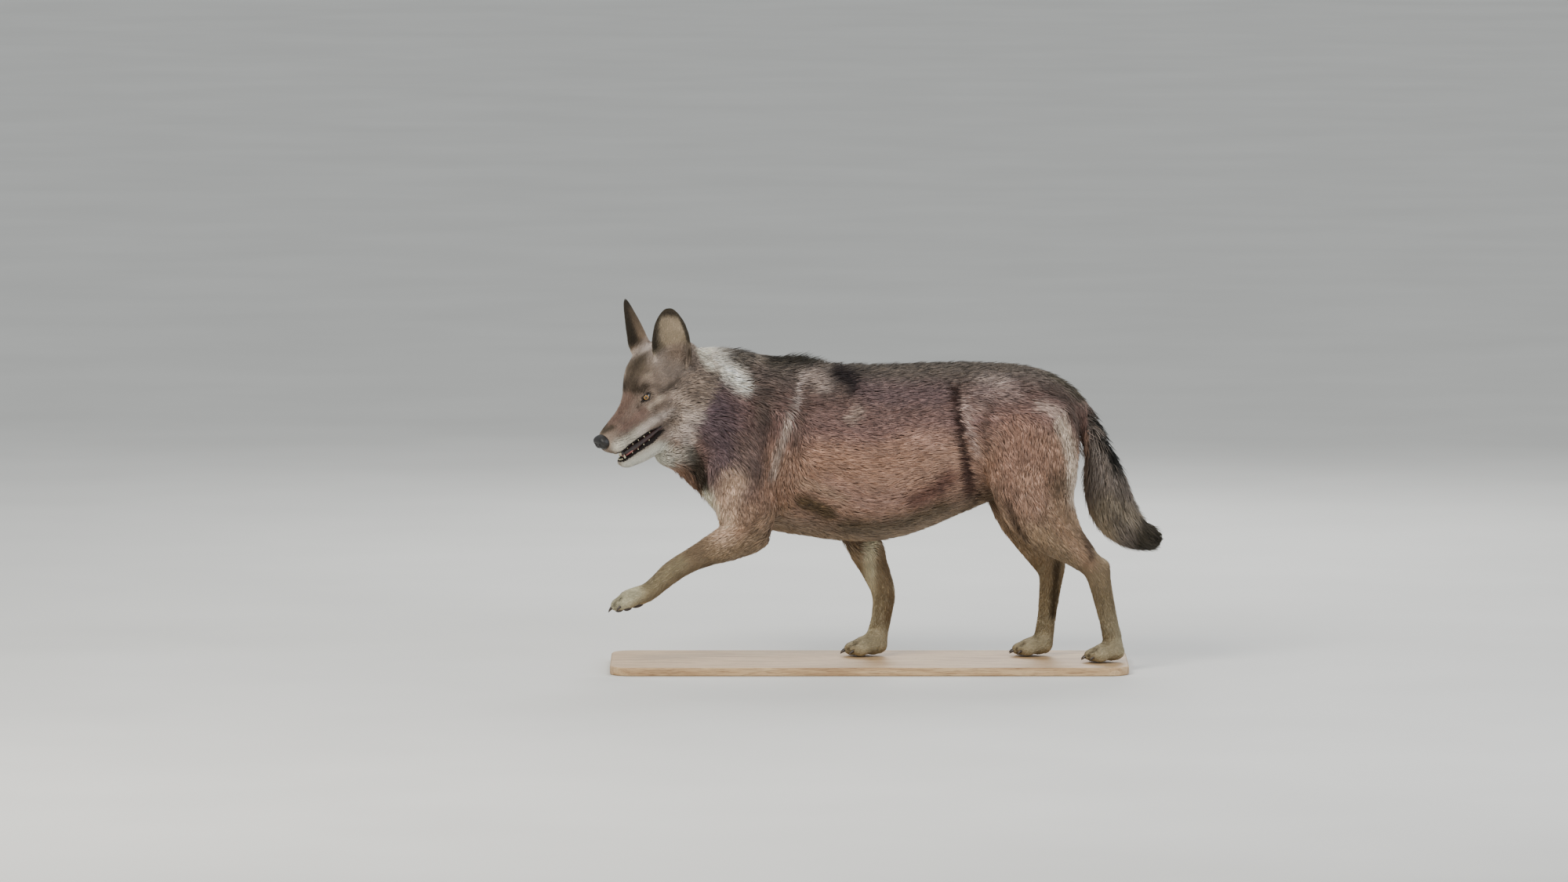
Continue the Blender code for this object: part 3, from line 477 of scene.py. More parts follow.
points = points_of(skin.data)
for centre, side in EYES.values():
    away, along, across = seen_from_eye(points, centre, side)
    upper, lower = lid_heights(along)
    inside = np.minimum(upper - across, across - lower) * LID_RADIUS  # metres in from the edge
    inside = np.where(np.abs(along) < CORNER, inside, -1)
    off_centre = np.arccos(np.clip(np.cos(along) * np.cos(across), -1, 1))
    lid = higher_of(away, LID_RADIUS, 3 * MM * smooth_step(-inside, 2 * MM, 6 * MM) + 0.1 * MM)
    fold = np.exp(-(((across - upper) * LID_RADIUS / MM - FOLD_ABOVE) / FOLD_WIDTH) ** 2)
    lid -= FOLD_DEPTH * fold * np.clip(1 - (along / CORNER) ** 2, 0, None)
    shaped = lid + (EYE_RADIUS - TUCK - lid) * smooth_step(inside, -0.2 * MM, 0.5 * MM)
    share = (1 - smooth_step(off_centre, *SIDE_ANGLES)) * (1 - smooth_step(away, 19 * MM, 24 * MM))
    wanted = away + (shaped - away) * share
    points = centre + (points - centre) * (wanted / away)[:, None]
set_points(skin.data, points)
print("lids shaped:", len(skin.data.polygons), "faces in the skin")

# %% [markdown]
# ## Folds of the face
# The rest of the face is modelled the way clay is: a soft push at a time. Each stroke names
# its middle, its reach and its movement on the head, and works on both sides. They raise the
# brow, hollow the side of the muzzle, swell the pad that carries the whiskers, draw in the
# corner of the mouth and run the furrow down the forehead.

# %% Strokes on the skin
# middle (back, out, up), reach, movement (back, out, up), in millimetres
STROKES = [
    ((118, 26, 37), 14, (0, -1.2, -0.8)),  # hollow in front of the eye
    ((146, 24, 56), 17, (-1.5, 0.5, 1.5)),  # brow over the inner corner
    ((150, 0, 66), 16, (0, 0, -2.2)),  # furrow of the forehead
    ((60, 26, -8), 26, (0, -1.2, 0)),  # flat side of the muzzle
    ((36, 25, -24), 17, (0, 1.8, 0)),  # whisker pad
    ((22, 0, -36), 9, (0, 0, 1.5)),  # notch under the nose
    ((150, 58, 4), 24, (0, 1.5, 1.0)),  # cheek bone
    ((134, 44, -44), 14, (0, -2.5, 0)),  # corner of the mouth
    ((40, 22, -60), 14, (0, -1.0, 1.2)),  # lower lip
]


def push(points, centre, reach, move):
    """Moves the points near the centre, fading to nothing at the reach."""
    apart = np.linalg.norm(points - centre, axis=1) / reach
    share = np.clip(1 - apart**2, 0, None) ** 2
    points += share[:, None] * move


def model(points, strokes, shift=0.0):
    """Strokes in millimetres. One that is off the middle is made on both sides."""
    for spot, reach, move in strokes:
        for side in (1, -1) if spot[1] else (1,):
            flip = np.array((1, side, 1))
            push(points, np.array(spot) * flip * MM + shift, reach * MM, np.array(move) * flip * MM)


on_head = to_head(points)
model(on_head, STROKES)

# the skin under the nose pad is drawn in, so that the pad alone shows
PAD_REACH = np.array((17.0, 20.0, 16.5)) * MM
PAD_DRAW = 0.45  # share of the way to the middle of the pad
from_pad = on_head - (NOSE_BACK, 0, NOSE_UP)
share = 1 - smooth_step(np.linalg.norm(from_pad / PAD_REACH, axis=1), 0.85, 1.12)
on_head -= from_pad * (PAD_DRAW * share)[:, None]
set_points(skin.data, from_head(on_head))
print(len(STROKES), "strokes")

# %% [markdown]
# ## Toes
# Each paw has four toes, and the two in the middle reach further. Grooves between them are
# pressed in from above and from the front, in axes of the paw's own: ahead from the heel,
# aside, and up from the sole. The same axes place the claws and the pads later.

# %% Paws and the grooves between toes
PAWS = {  # place of the heel (x, y, height), pitch in degrees, size
    "foreleg_left": ((-0.507, -0.084, 0.122), -14, 1.00),
    "foreleg_right": ((-0.013, 0.060, 0.0), 0, 1.00),
    "hindleg_left": ((0.492, -0.065, 0.0), 0, 0.94),
    "hindleg_right": ((0.341, 0.063, 0.0), 0, 0.94),
}
TOES = [(34, -28.5), (52, -11.0), (52, 11.0), (34, 28.5)]  # ahead, aside, in millimetres
# middle, reach and movement (ahead, aside, up), in millimetres
TOE_GROOVES = [
    ((52, 0, 30), 12, (-1, 0, -6.0)),
    ((70, 0, 16), 9, (-7, 0, 0)),
    ((46, 22, 28), 11, (-1, 1, -5.0)),
    ((62, 24, 16), 7, (-5, -2, 0)),
]


def paw_axes(paw):
    _, degrees, size = PAWS[paw]
    tilt = np.array(Matrix.Rotation(math.radians(degrees), 3, "Y"))
    return (tilt @ np.diag((-1, -1, 1))).T * size


def from_paw(points, paw):
    """World places of points given as ahead, aside, up on a paw."""
    return np.asarray(points, float) @ paw_axes(paw) + PAWS[paw][0] + BODY_ORIGIN


def to_paw(points, paw):
    return (np.asarray(points) - BODY_ORIGIN - PAWS[paw][0]) @ paw_axes(paw).T / PAWS[paw][2] ** 2


points = points_of(skin.data)
for paw in PAWS:
    on_paw = to_paw(points, paw)
    model(on_paw, TOE_GROOVES)
    points = from_paw(on_paw, paw)
set_points(skin.data, points)


def smooth_faces(mesh):
    mesh.polygons.foreach_set("use_smooth", np.ones(len(mesh.polygons), bool))


def tree_of(mesh):
    """A mesh's faces, ready to be asked for the nearest one."""
    return BVHTree.FromPolygons([v.co for v in mesh.vertices], [f.vertices[:] for f in mesh.polygons])


smooth_faces(skin.data)
skin_tree = tree_of(skin.data)
print(len(TOE_GROOVES), "kinds of groove on", len(PAWS), "paws")

# %% [markdown]
# ## Making materials
# Every finish below is built from nodes. One small function adds a node with its settings and
# links, and one turns an sRGB hex colour into the linear numbers that the shader wants, so the
# colours can be read as a painter would write them.

# %% Helpers for nodes and colours
def linear(hex_colour):
    """Linear red, green and blue of an sRGB hex colour."""
    values = np.array([int(hex_colour[i : i + 2], 16) for i in (1, 3, 5)]) / 255
    return np.where(values <= 0.04045, values / 12.92, ((values + 0.055) / 1.055) ** 2.4)


def paint(hex_colour):
    return (*linear(hex_colour), 1)


def add(tree, kind, inputs=(), **settings):
    """A new node. Inputs are numbers to set, or sockets of other nodes to link."""
    node = tree.nodes.new(kind)
    for name, value in settings.items():
        setattr(node, name, value)
    for name, value in dict(inputs).items():
        if isinstance(value, bpy.types.NodeSocket):
            tree.links.new(value, node.inputs[name])
        else:
            node.inputs[name].default_value = value
    return node


def ramp(tree, factor, stops):
    """A colour ramp through (position, hex colour) stops."""
    node = add(tree, "ShaderNodeValToRGB", {"Fac": factor})
    while len(node.color_ramp.elements) < len(stops):
        node.color_ramp.elements.new(0.5)
    for element, (position, hex_colour) in zip(node.color_ramp.elements, stops):
        element.position = position
        element.color = paint(hex_colour)
    return node.outputs["Color"]


def colour_by(tree, shader, factor, stops):
    """Paints the shader with a colour ramp over a factor."""
    tree.links.new(ramp(tree, factor, stops), shader.inputs["Base Color"])


def new_material(name, **shader_values):
    """A material with one Principled shader, and the values set on the shader's own sockets."""
    material = bpy.data.materials.new(name)
    material.use_nodes = True
    tree = material.node_tree
    shader = tree.nodes["Principled BSDF"]
    for socket, value in shader_values.items():
        shader.inputs[socket.replace("_", " ")].default_value = value
    return material, tree, shader


def bump(tree, shader, height, distance, strength=1.0):
    """Links a height to the shader as bump of that depth in metres."""
    made = add(tree, "ShaderNodeBump", {"Height": height, "Strength": strength})
    made.inputs["Distance"].default_value = distance
    tree.links.new(made.outputs["Normal"], shader.inputs["Normal"])


def object_coordinates(tree):
    return add(tree, "ShaderNodeTexCoord").outputs["Object"]


def noise(tree, places, scale, detail=2.0):
    """Noise between 0 and 1, whose patches are one over the scale wide."""
    values = {"Vector": places, "Scale": scale, "Detail": detail}
    return add(tree, "ShaderNodeTexNoise", values).outputs["Fac"]


def cells(tree, places, width):
    """Distance from the middle of cobbles of a width in metres."""
    values = {"Vector": places, "Scale": 1 / width}
    return add(tree, "ShaderNodeTexVoronoi", values).outputs["Distance"]


def stored(tree, name, output="Fac"):
    """Values kept on the vertices of a mesh."""
    return add(tree, "ShaderNodeAttribute", attribute_name=name).outputs[output]


def set_attribute(mesh, name, kind, values, domain="POINT"):
    field = {"FLOAT_COLOR": "color", "FLOAT_VECTOR": "vector"}.get(kind, "value")
    attribute = mesh.attributes.new(name, kind, domain)
    attribute.data.foreach_set(field, np.asarray(values, np.float32).ravel())


def finish_piece(piece, material, slot, *nodes):
    """Gives a piece its material and its body, and hides the solids that it stands for. The slot is not
    used.
    """
    piece.data.materials.clear()
    piece.data.materials.append(material)
    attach(piece, "root")
    if nodes:
        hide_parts(*nodes)
    print(piece.name, len(piece.data.polygons), "faces")


# %% [markdown]
# ## Glass eyes
# A taxidermist's eye is a glass shell painted from behind: a black pupil, an amber iris that
# darkens to its rim, and a dark brown white, since hardly any white shows in a wolf. A sphere
# with a raised cornea gives the right highlight. The distance from the middle of the pupil is
# stored on every vertex, and the paint is a colour ramp over it with fine streaks that run
# outwards.

# %% Eyes
PUPIL, IRIS = 2.3 * MM, 6.4 * MM  # radii
CORNEA_RISE, CORNEA_REACH = 1.0 * MM, IRIS * 1.1


def eye_piece(name, centre, side):
    look, along, across = eye_axes(side)
    bm = bmesh.new()
    bmesh.ops.create_uvsphere(bm, u_segments=56, v_segments=40, radius=EYE_RADIUS)
    mesh = bpy.data.meshes.new(name)
    bm.to_mesh(mesh)
    bm.free()
    local = points_of(mesh)
    reach = np.linalg.norm(local[:, :2], axis=1)
    front = local[:, 2] > 0
    rise = CORNEA_RISE * np.clip(1 - (reach / CORNEA_REACH) ** 2, 0, None) * front
    local[:, 2] += rise
    set_attribute(mesh, "from_pupil", "FLOAT", np.where(front, reach, EYE_RADIUS))
    turn = np.arctan2(local[:, 1], local[:, 0])
    set_attribute(mesh, "streak_x", "FLOAT", np.cos(turn))
    set_attribute(mesh, "streak_y", "FLOAT", np.sin(turn))
    axes = np.array((along, across * side, look))
    set_points(mesh, local @ axes + centre)
    smooth_faces(mesh)
    return add_object(name, mesh)


# Glass over paint: an IOR of 1.5 and a clear coat give one sharp, wet highlight.
eye_glass, tree, shader = new_material(
    "painted glass, polished", Roughness=0.12, IOR=1.5, Coat_Weight=1.0, Coat_Roughness=0.02
)
distance = {"Value": stored(tree, "from_pupil"), "From Max": IRIS}
iris_share = add(tree, "ShaderNodeMapRange", distance).outputs["Result"]
streak = {"X": stored(tree, "streak_x"), "Y": stored(tree, "streak_y")}
around = add(tree, "ShaderNodeCombineXYZ", streak).outputs["Vector"]
fibres = {"Value": noise(tree, around, 9.0, 4.0), "To Min": -0.10, "To Max": 0.10}
wobble = add(tree, "ShaderNodeMapRange", fibres).outputs["Result"]
shifted = add(tree, "ShaderNodeMath", {0: iris_share, 1: wobble}, operation="ADD").outputs["Value"]
edge = PUPIL / IRIS
colour_by(tree, shader, shifted, [(edge - 0.02, "#050403"), (edge + 0.05, "#6b4a16"), (0.60, "#94702f"),
                                  (0.82, "#7a5420"), (0.93, "#2a1a0a"), (1.0, "#1c130c")])

for name, (centre, side) in EYES.items():
    finish_piece(eye_piece(f"glass_eye_{name}", centre, side), eye_glass, "eye", f"eye_{name}")

# %% [markdown]
# ## Dark rims of the lids
# The edge of a wolf's lids is bare, black and slightly moist, and draws the eye's outline. A
# bevelled curve that runs along the edge of the opening gives that rim a round section, and it
# covers the place where the skin turns inwards.

# %% Lid rims
def face_outwards(mesh):
    """Joins corners that coincide, turns the faces outwards and makes them smooth."""
    bm = bmesh.new()
    bm.from_mesh(mesh)
    bmesh.ops.remove_doubles(bm, verts=bm.verts, dist=0.001 * MM)
    bmesh.ops.recalc_face_normals(bm, faces=bm.faces)
    bm.to_mesh(mesh)
    bm.free()
    smooth_faces(mesh)


def ring_bar(name, rows):
    """A round bar, closed in a ring, along rows of x, y, z, radius."""
    curve = bpy.data.curves.new(name, "CURVE")
    curve.dimensions = "3D"
    curve.bevel_depth = 1.0
    curve.bevel_resolution = 3
    spline = curve.splines.new("POLY")
    spline.points.add(len(rows) - 1)
    for point, (x, y, z, radius) in zip(spline.points, rows):
        point.co = (x, y, z, 1)
        point.radius = radius
    spline.use_cyclic_u = True
    holder = add_object(name, curve)
    graph = bpy.context.evaluated_depsgraph_get()
    mesh = bpy.data.meshes.new_from_object(holder.evaluated_get(graph))
    bpy.data.objects.remove(holder)
    face_outwards(mesh)
    return add_object(name, mesh)


# Bare skin over a moist edge: nearly black, with a soft highlight.
lid_skin, tree, shader = new_material(
    "bare moist skin, dark", Base_Color=paint("#15110f"), Roughness=0.38
)
bump(tree, shader, noise(tree, object_coordinates(tree), 900.0), 0.1 * MM, 0.5)

RIM_LEVEL, UPPER_RIM, LOWER_RIM = 13.15 * MM, 1.0625 * MM, 0.765 * MM  # from the eye; radii
RIM_STEPS = 32  # along each lid
for name, (centre, side) in EYES.items():
    look, along, across = eye_axes(side)
    rows = []
    for way in (1, -1):
        for share in np.linspace(-1, 1, RIM_STEPS + 1)[:-1] * way:
            angle = CORNER * share
            upper, lower = lid_heights(np.array(angle))
            height, radius = (upper, UPPER_RIM) if way > 0 else (lower, LOWER_RIM)
            ray = look * math.cos(angle) * math.cos(height) + across * math.sin(height)
            ray += along * math.sin(angle) * math.cos(height)
            rows.append((*(centre + ray * RIM_LEVEL), radius))
    finish_piece(ring_bar(f"lid_rim_{name}", rows), lid_skin, "nose_leather")

# %% [markdown]
# ## Nose leather
# The nose pad is bare skin, dark and cobbled, with two comma-shaped nostrils that open to the
# side and a groove down the middle. It starts as a ball with a flattened front. Pushes along
# the head's axes shape it: wings out, nostrils in, groove in. The cobbles, about a millimetre
# across on the real pad, are a cell pattern in the bump.

# %% Nose
NOSE_SIZE = np.array((15.0, 19.5, 15.5)) * MM  # half its depth, width and height
NOSE_SQUARENESS = 0.92  # 1 is a ball, less is boxier
STROKES_BACK = (4 * MM, 0, 0)  # the strokes are measured from 4 mm behind the tip
NOSE_STROKES = [
    ((-4, 0, 2), 20, (3.2, 0, 0)),  # flat front
    ((2, 0, -14), 12, (2.0, 0, 2.5)),  # narrow below
    ((2, 14, 4), 11, (0, 1.6, 0.5)),  # wings
    ((-2.5, 8.5, -2.5), 5.6, (4.5, -0.6, 0.6)),  # nostril
    ((1.5, 13, -4), 5.2, (0.5, -4.2, 1.0)),  # and its slit to the side
    ((-3, 0, -6), 5.0, (2.6, 0, 0)),  # groove
    ((-3, 0, 0), 3.6, (1.2, 0, 0)),
    ((6, 0, 13), 14, (0, 0, -1.2)),  # runs into the bridge
]
bm = bmesh.new()
bmesh.ops.create_icosphere(bm, subdivisions=5, radius=1)
nose_mesh = bpy.data.meshes.new("nose_pad")
bm.to_mesh(nose_mesh)
bm.free()
ball = points_of(nose_mesh)
ball = np.sign(ball) * np.abs(ball) ** NOSE_SQUARENESS * NOSE_SIZE
ball += np.array((NOSE_BACK + 1.5 * MM, 0, NOSE_UP + 0.5 * MM))
model(ball, NOSE_STROKES, STROKES_BACK)
set_points(nose_mesh, from_head(ball))
face_outwards(nose_mesh)
nose_pad = add_object("nose_pad", nose_mesh)

# Bare leather, cobbled and a little moist: near black, half glossy.
nose_leather, tree, shader = new_material("bare nose leather, cobbled", Roughness=0.42)
places = object_coordinates(tree)
COBBLE = 1.3 * MM
colour_by(tree, shader, noise(tree, places, 120.0, 3.0), [(0.35, "#0b0908"), (0.65, "#1a1614")])
bump(tree, shader, cells(tree, places, COBBLE), 0.35 * MM, 0.8)
finish_piece(nose_pad, nose_leather, "nose_leather", "nose")

# %% [markdown]
# ## Inside the mouth
# The jaws stand a finger's width apart, so a dark lining, the tongue and the outer row of
# teeth show. The lining is a wedge that closes the view from one side of the mouth to the
# other, as cheeks and gums do; its near-black colour is partly painted shade inside the mouth.
# The tongue is a flat tapered bar with a groove along it.

# %% Lining and tongue
SIDES = 20  # of a bar's section
ROUNDNESS = 0.8  # of its corners: 1 is an ellipse
GROOVE_SHARE = 0.25  # of the half width


def bar(name, rows, groove=0.0):
    """A closed bar along the head. Each row: back, up, half width, half height."""
    verts, faces = [], []
    for back, up, wide, high in rows:
        for k in range(SIDES):
            a = 2 * math.pi * k / SIDES
            c, s = math.cos(a), math.sin(a)
            out = wide * abs(c) ** ROUNDNESS * (1 if c > 0 else -1)
            lift = high * abs(s) ** ROUNDNESS * (1 if s > 0 else -1)
            if s > 0:
                lift -= groove * math.exp(-((out / (GROOVE_SHARE * wide)) ** 2))
            verts.append(from_head((back, out, up + lift)))
    for ring in range(0, len(verts) - SIDES, SIDES):
        for k in range(SIDES):
            j = (k + 1) % SIDES
            faces.append((ring + k, ring + j, ring + SIDES + j, ring + SIDES + k))
    faces.append(tuple(range(SIDES))[::-1])
    faces.append(tuple(range(len(verts) - SIDES, len(verts))))
    mesh = bpy.data.meshes.new(name)
    mesh.from_pydata([tuple(v) for v in verts], [], faces)
    face_outwards(mesh)
    return add_object(name, mesh)


LINING = [
    # back, up, half width, half height
    (0.0400, -0.0520, 0.0080, 0.0080),
    (0.0600, -0.0505, 0.0150, 0.0100),
    (0.0850, -0.0500, 0.0190, 0.0095),
    (0.1100, -0.0480, 0.0240, 0.0090),
    (0.1330, -0.0450, 0.0290, 0.0080),
    (0.1500, -0.0420, 0.0310, 0.0060),
]
TONGUE = [
    (0.0380, -0.0560, 0.0040, 0.0015),
    (0.0430, -0.0550, 0.0100, 0.0028),
    (0.0560, -0.0535, 0.0140, 0.0038),
    (0.0800, -0.0515, 0.0165, 0.0042),
    (0.1050, -0.0480, 0.0185, 0.0042),
    (0.1200, -0.0460, 0.0180, 0.0030),
]
# Wet mucous skin: pink on the tongue, with a wet shine. The lining is near black: the dark
# skin of the lips and cheeks, and painted shade inside the mouth.
mouth_skin, tree, shader = new_material(
    "wet mouth lining, dark", Roughness=0.3, Coat_Weight=0.4, Coat_Roughness=0.15
)
patches = noise(tree, object_coordinates(tree), 90.0)
colour_by(tree, shader, patches, [(0.4, "#1a100e"), (0.65, "#3a1f1c")])
tongue_skin, tree, shader = new_material(
    "wet tongue, rough with papillae", Roughness=0.35, Coat_Weight=0.4, Coat_Roughness=0.2
)
places = object_coordinates(tree)
PAPILLA = 1.1 * MM
colour_by(tree, shader, noise(tree, places, 70.0, 3.0), [(0.35, "#8c4a46"), (0.7, "#b0706a")])
bump(tree, shader, cells(tree, places, PAPILLA), 0.25 * MM, 0.7)
finish_piece(bar("mouth_lining", LINING), mouth_skin, "nose_leather")
finish_piece(bar("tongue", TONGUE, groove=1.2 * MM), tongue_skin, "nose_leather")


# %% [markdown]
# ## Claws, whiskers and teeth
# All of these are spikes: thick at the root, thin at the tip, and bent to one side. One tree
# of Geometry Nodes makes the spike from a line: it is bent, given a radius that tapers, and
# set on every root point. Each root carries the way its spike goes, the way it bends to, and
# its length. Only the numbers differ: a claw is short, thick and bent down, a whisker long and
# thin, a tooth short and nearly straight. The roots themselves are found by looking along a
# ray for the skin, so each one stands in the flesh.

# %% A tree for spikes
# inputs of the tree and their kinds; Blunt is how late the taper comes
SPIKE_SIZES = {"Bend": "Float", "Thickness": "Float", "Blunt": "Float", "Rings": "Int", "Sides": "Int",
               "Finish": "Material"}
# what each root carries
ROOT_VALUES = {"direction": "FLOAT_VECTOR", "bend_to": "FLOAT_VECTOR", "size": "FLOAT"}
TIP_LEFT = 0.03  # share of the radius left at the tip, which keeps a small round end


def spike_tree():
    tree = bpy.data.node_groups.new("tapered spikes", "GeometryNodeTree")
    new_socket = tree.interface.new_socket
    new_socket("Roots", in_out="INPUT", socket_type="NodeSocketGeometry")
    for name, kind in SPIKE_SIZES.items():
        new_socket(name, in_out="INPUT", socket_type="NodeSocket" + kind)
    new_socket("Spikes", in_out="OUTPUT", socket_type="NodeSocketGeometry")
    inputs = add(tree, "NodeGroupInput").outputs

    def first(kind, values, **settings):
        """The first output of a new node."""
        return add(tree, kind, values, **settings).outputs[0]

    def maths(operation, one, other):
        return first("ShaderNodeMath", {0: one, 1: other}, operation=operation)

    # a line from 0 to 1 along z, bent aside by the square of the way along
    line = first("GeometryNodeCurvePrimitiveLine", {"End": (0, 0, 1)})
    line = first("GeometryNodeResampleCurve", {"Curve": line, "Count": inputs["Rings"]})
    along = first("GeometryNodeSplineParameter", {})
    aside = maths("MULTIPLY", maths("MULTIPLY", along, along), inputs["Bend"])
    offset = first("ShaderNodeCombineXYZ", {"X": aside})
    line = first("GeometryNodeSetPosition", {"Geometry": line, "Offset": offset})
    # a radius that tapers to the tip
    taper = maths("SUBTRACT", 1 + TIP_LEFT, maths("POWER", along, inputs["Blunt"]))
    radius = maths("MULTIPLY", taper, inputs["Thickness"])
    ring = first("GeometryNodeCurvePrimitiveCircle", {"Resolution": inputs["Sides"], "Radius": 1.0})
    section = {"Curve": line, "Profile Curve": ring, "Scale": radius, "Fill Caps": True}
    spike = first("GeometryNodeCurveToMesh", section)
    # turned to each root's direction, then round itself towards its bend
    fields = {
        name: first("GeometryNodeInputNamedAttribute", {"Name": name}, data_type=kind)
        for name, kind in ROOT_VALUES.items()
    }
    align = "FunctionNodeAlignRotationToVector"
    turn = first(align, {"Vector": fields["direction"]}, axis="Z")
    turn = first(align, {"Rotation": turn, "Vector": fields["bend_to"]}, axis="X", pivot_axis="Z")
    copies = {"Points": inputs["Roots"], "Instance": spike, "Rotation": turn, "Scale": fields["size"]}
    placed = first("GeometryNodeInstanceOnPoints", copies)
    solid = first("GeometryNodeRealizeInstances", {"Geometry": placed})
    solid = first("GeometryNodeSetShadeSmooth", {"Geometry": solid})
    solid = first("GeometryNodeSetMaterial", {"Geometry": solid, "Material": inputs["Finish"]})
    tree.links.new(solid, add(tree, "NodeGroupOutput").inputs["Spikes"])
    return tree


SPIKES = spike_tree()


def spikes(name, rows, material, slot, **sizes):
    """Spikes on roots given as (point, direction, bend_to, size), made a plain mesh."""
    roots, *carried_values = zip(*rows)
    mesh = bpy.data.meshes.new(name + "_roots")
    mesh.from_pydata([tuple(root) for root in roots], [], [])
    for (value, kind), given in zip(ROOT_VALUES.items(), carried_values):
        set_attribute(mesh, value, kind, given)
    holder = add_object(name + "_roots", mesh)
    modifier = holder.modifiers.new("Spikes", "NODES")
    modifier.node_group = SPIKES
    values = dict(Finish=material, **sizes)
    for item in SPIKES.interface.items_tree:
        if item.name in values:
            modifier[item.identifier] = values[item.name]
    evaluated = holder.evaluated_get(bpy.context.evaluated_depsgraph_get())
    made = bpy.data.meshes.new_from_object(evaluated)
    made.name = name
    holder.modifiers.remove(modifier)
    bpy.data.objects.remove(holder)
    finish_piece(add_object(name, made), material, slot)


# %% [markdown]
# ## Claws
# A wolf's claws are blunt and dark, and are never drawn in. Each one comes out of the front of
# its toe a little above the sole and curves down.

# %% Claws on the toes
def sunk_root(start, way, depth):
    """The place where a ray meets the skin, moved on along the ray by a depth."""
    way = Vector(way).normalized()
    spot = skin_tree.ray_cast(Vector(start), way)[0]
    return None if spot is None else spot + way * depth


CLAW_LENGTH, CLAW_UP, CLAW_SUNK = 16 * MM, 15 * MM, 4.5 * MM
CLAW_APART, CLAW_DROOP = 1.08, 0.35  # how far the claws spread, and how much they point down
LOOK_FROM = 60  # millimetres ahead of the toe, where the search for the skin starts
claw_rows = []
for paw in PAWS:
    ahead_way, aside_way, up_way = paw_axes(paw)
    for ahead, aside in TOES:
        start = from_paw(((ahead + LOOK_FROM) * MM, aside * CLAW_APART * MM, CLAW_UP), paw)
        root = sunk_root(start, -ahead_way, CLAW_SUNK)
        direction = ahead_way + aside_way * (aside / 110) - CLAW_DROOP * up_way
        claw_rows.append((root, direction, -up_way, CLAW_LENGTH * PAWS[paw][2]))

# Horn grows in layers along the claw, so it shines a little and its tone is streaked.
claw_horn, tree, shader = new_material("claw horn, dark, worn by walking", Roughness=0.38, IOR=1.54)
layers = noise(tree, object_coordinates(tree), 260.0)
colour_by(tree, shader, layers, [(0.35, "#1f1914"), (0.70, "#4a3d30")])
bump(tree, shader, layers, 0.15 * MM, 0.6)
spikes("claws", claw_rows, claw_horn, "nose_leather", Bend=0.28, Thickness=0.175, Blunt=3.0,
       Rings=10, Sides=12)

# %% [markdown]
# ## Pads
# The lifted forepaw shows its sole: one large pad behind and four toe pads, of thick dark
# leather. Each is a flattened ball that bulges out of the hair.

# %% Pads of the lifted paw
# middle (ahead, aside, up) and half sizes, in millimetres
SOLE_PADS = [((14, 0, 6.0), (14, 18, 6.5))]
SOLE_PADS += [((ahead + 1, aside * 0.96, 6.0), (9.5, 7.5, 5.5)) for ahead, aside in TOES]
bm = bmesh.new()
for middle, half in SOLE_PADS:
    ball = bmesh.ops.create_uvsphere(bm, u_segments=28, v_segments=18, radius=1)["verts"]
    places = np.array([v.co for v in ball]) * half + middle
    for vert, place in zip(ball, from_paw(places * MM, "foreleg_left")):
        vert.co = place
mesh = bpy.data.meshes.new("paw_pads")
bm.to_mesh(mesh)
bm.free()
face_outwards(mesh)
# Pad leather is matt and finely cobbled, paler on the worn middles, with painted shade in the grooves.
pad_leather, tree, shader = new_material(
    "pad leather, cobbled and worn, painted shade in the grooves", Roughness=0.62, Specular_IOR_Level=0.35
)
cobbles = cells(tree, object_coordinates(tree), COBBLE)
colour_by(tree, shader, cobbles, [(0.0, "#4a413b"), (0.8, "#1f1a18")])
bump(tree, shader, cobbles, -0.35 * MM, 0.8)
finish_piece(add_object("paw_pads", mesh), pad_leather, "nose_leather")

# %% [markdown]
# ## Whiskers
# Whiskers stand in rows on the side of the muzzle, and a few over each eye. They start in the
# swollen pad beside the nose, sweep back and sag a little.

# %% Whiskers in rows
whisker_draws = np.random.default_rng(21)
to_back, to_side, to_top = (np.array(from_head(axis)) - from_head((0, 0, 0)) for axis in np.eye(3))
MUZZLE_UPS = [-0.006, -0.012, -0.018, -0.024]  # height of each row on the head
MUZZLE_BACKS = [0.024, 0.032, 0.040, 0.048, 0.056]
BROW_BACKS = [0.124, 0.130, 0.136]
# beside the muzzle and above the eye, where the search for the skin starts
BESIDE, OVER_EYE = 0.050, (0.038, 0.110)
MUZZLE_LENGTH, BROW_LENGTH, ROOT_SUNK = 38 * MM, 26 * MM, 1.5 * MM
# the way a whisker points: back, out, up
MUZZLE_WAY, BROW_WAY = (0.75, 0.75, -0.10), (0.5, 0.3, 0.8)
whisker_rows = []


def add_whisker(side, spot, search, way, size):
    """One whisker near a spot of the head; search is the direction to its skin."""
    jitter = whisker_draws.normal(0, 0.8 * MM, 3)
    root = sunk_root(from_head(np.array(spot) + jitter), search, ROOT_SUNK)
    if root is None:
        return
    direction = to_back * way[0] + to_side * side * way[1] + to_top * way[2]
    direction = direction + to_side * whisker_draws.normal(0, 0.10)
    direction = direction + to_top * whisker_draws.normal(0, 0.12)
    length = size * whisker_draws.uniform(0.6, 1.1)
    whisker_rows.append((root, direction, to_back - 0.4 * to_top, length))


for side in (1, -1):
    for up in MUZZLE_UPS:
        for back in MUZZLE_BACKS:
            add_whisker(side, (back, BESIDE * side, up), -to_side * side, MUZZLE_WAY, MUZZLE_LENGTH)
    for back in BROW_BACKS:
        out, up = OVER_EYE
        add_whisker(side, (back, out * side, up), -to_top, BROW_WAY, BROW_LENGTH)
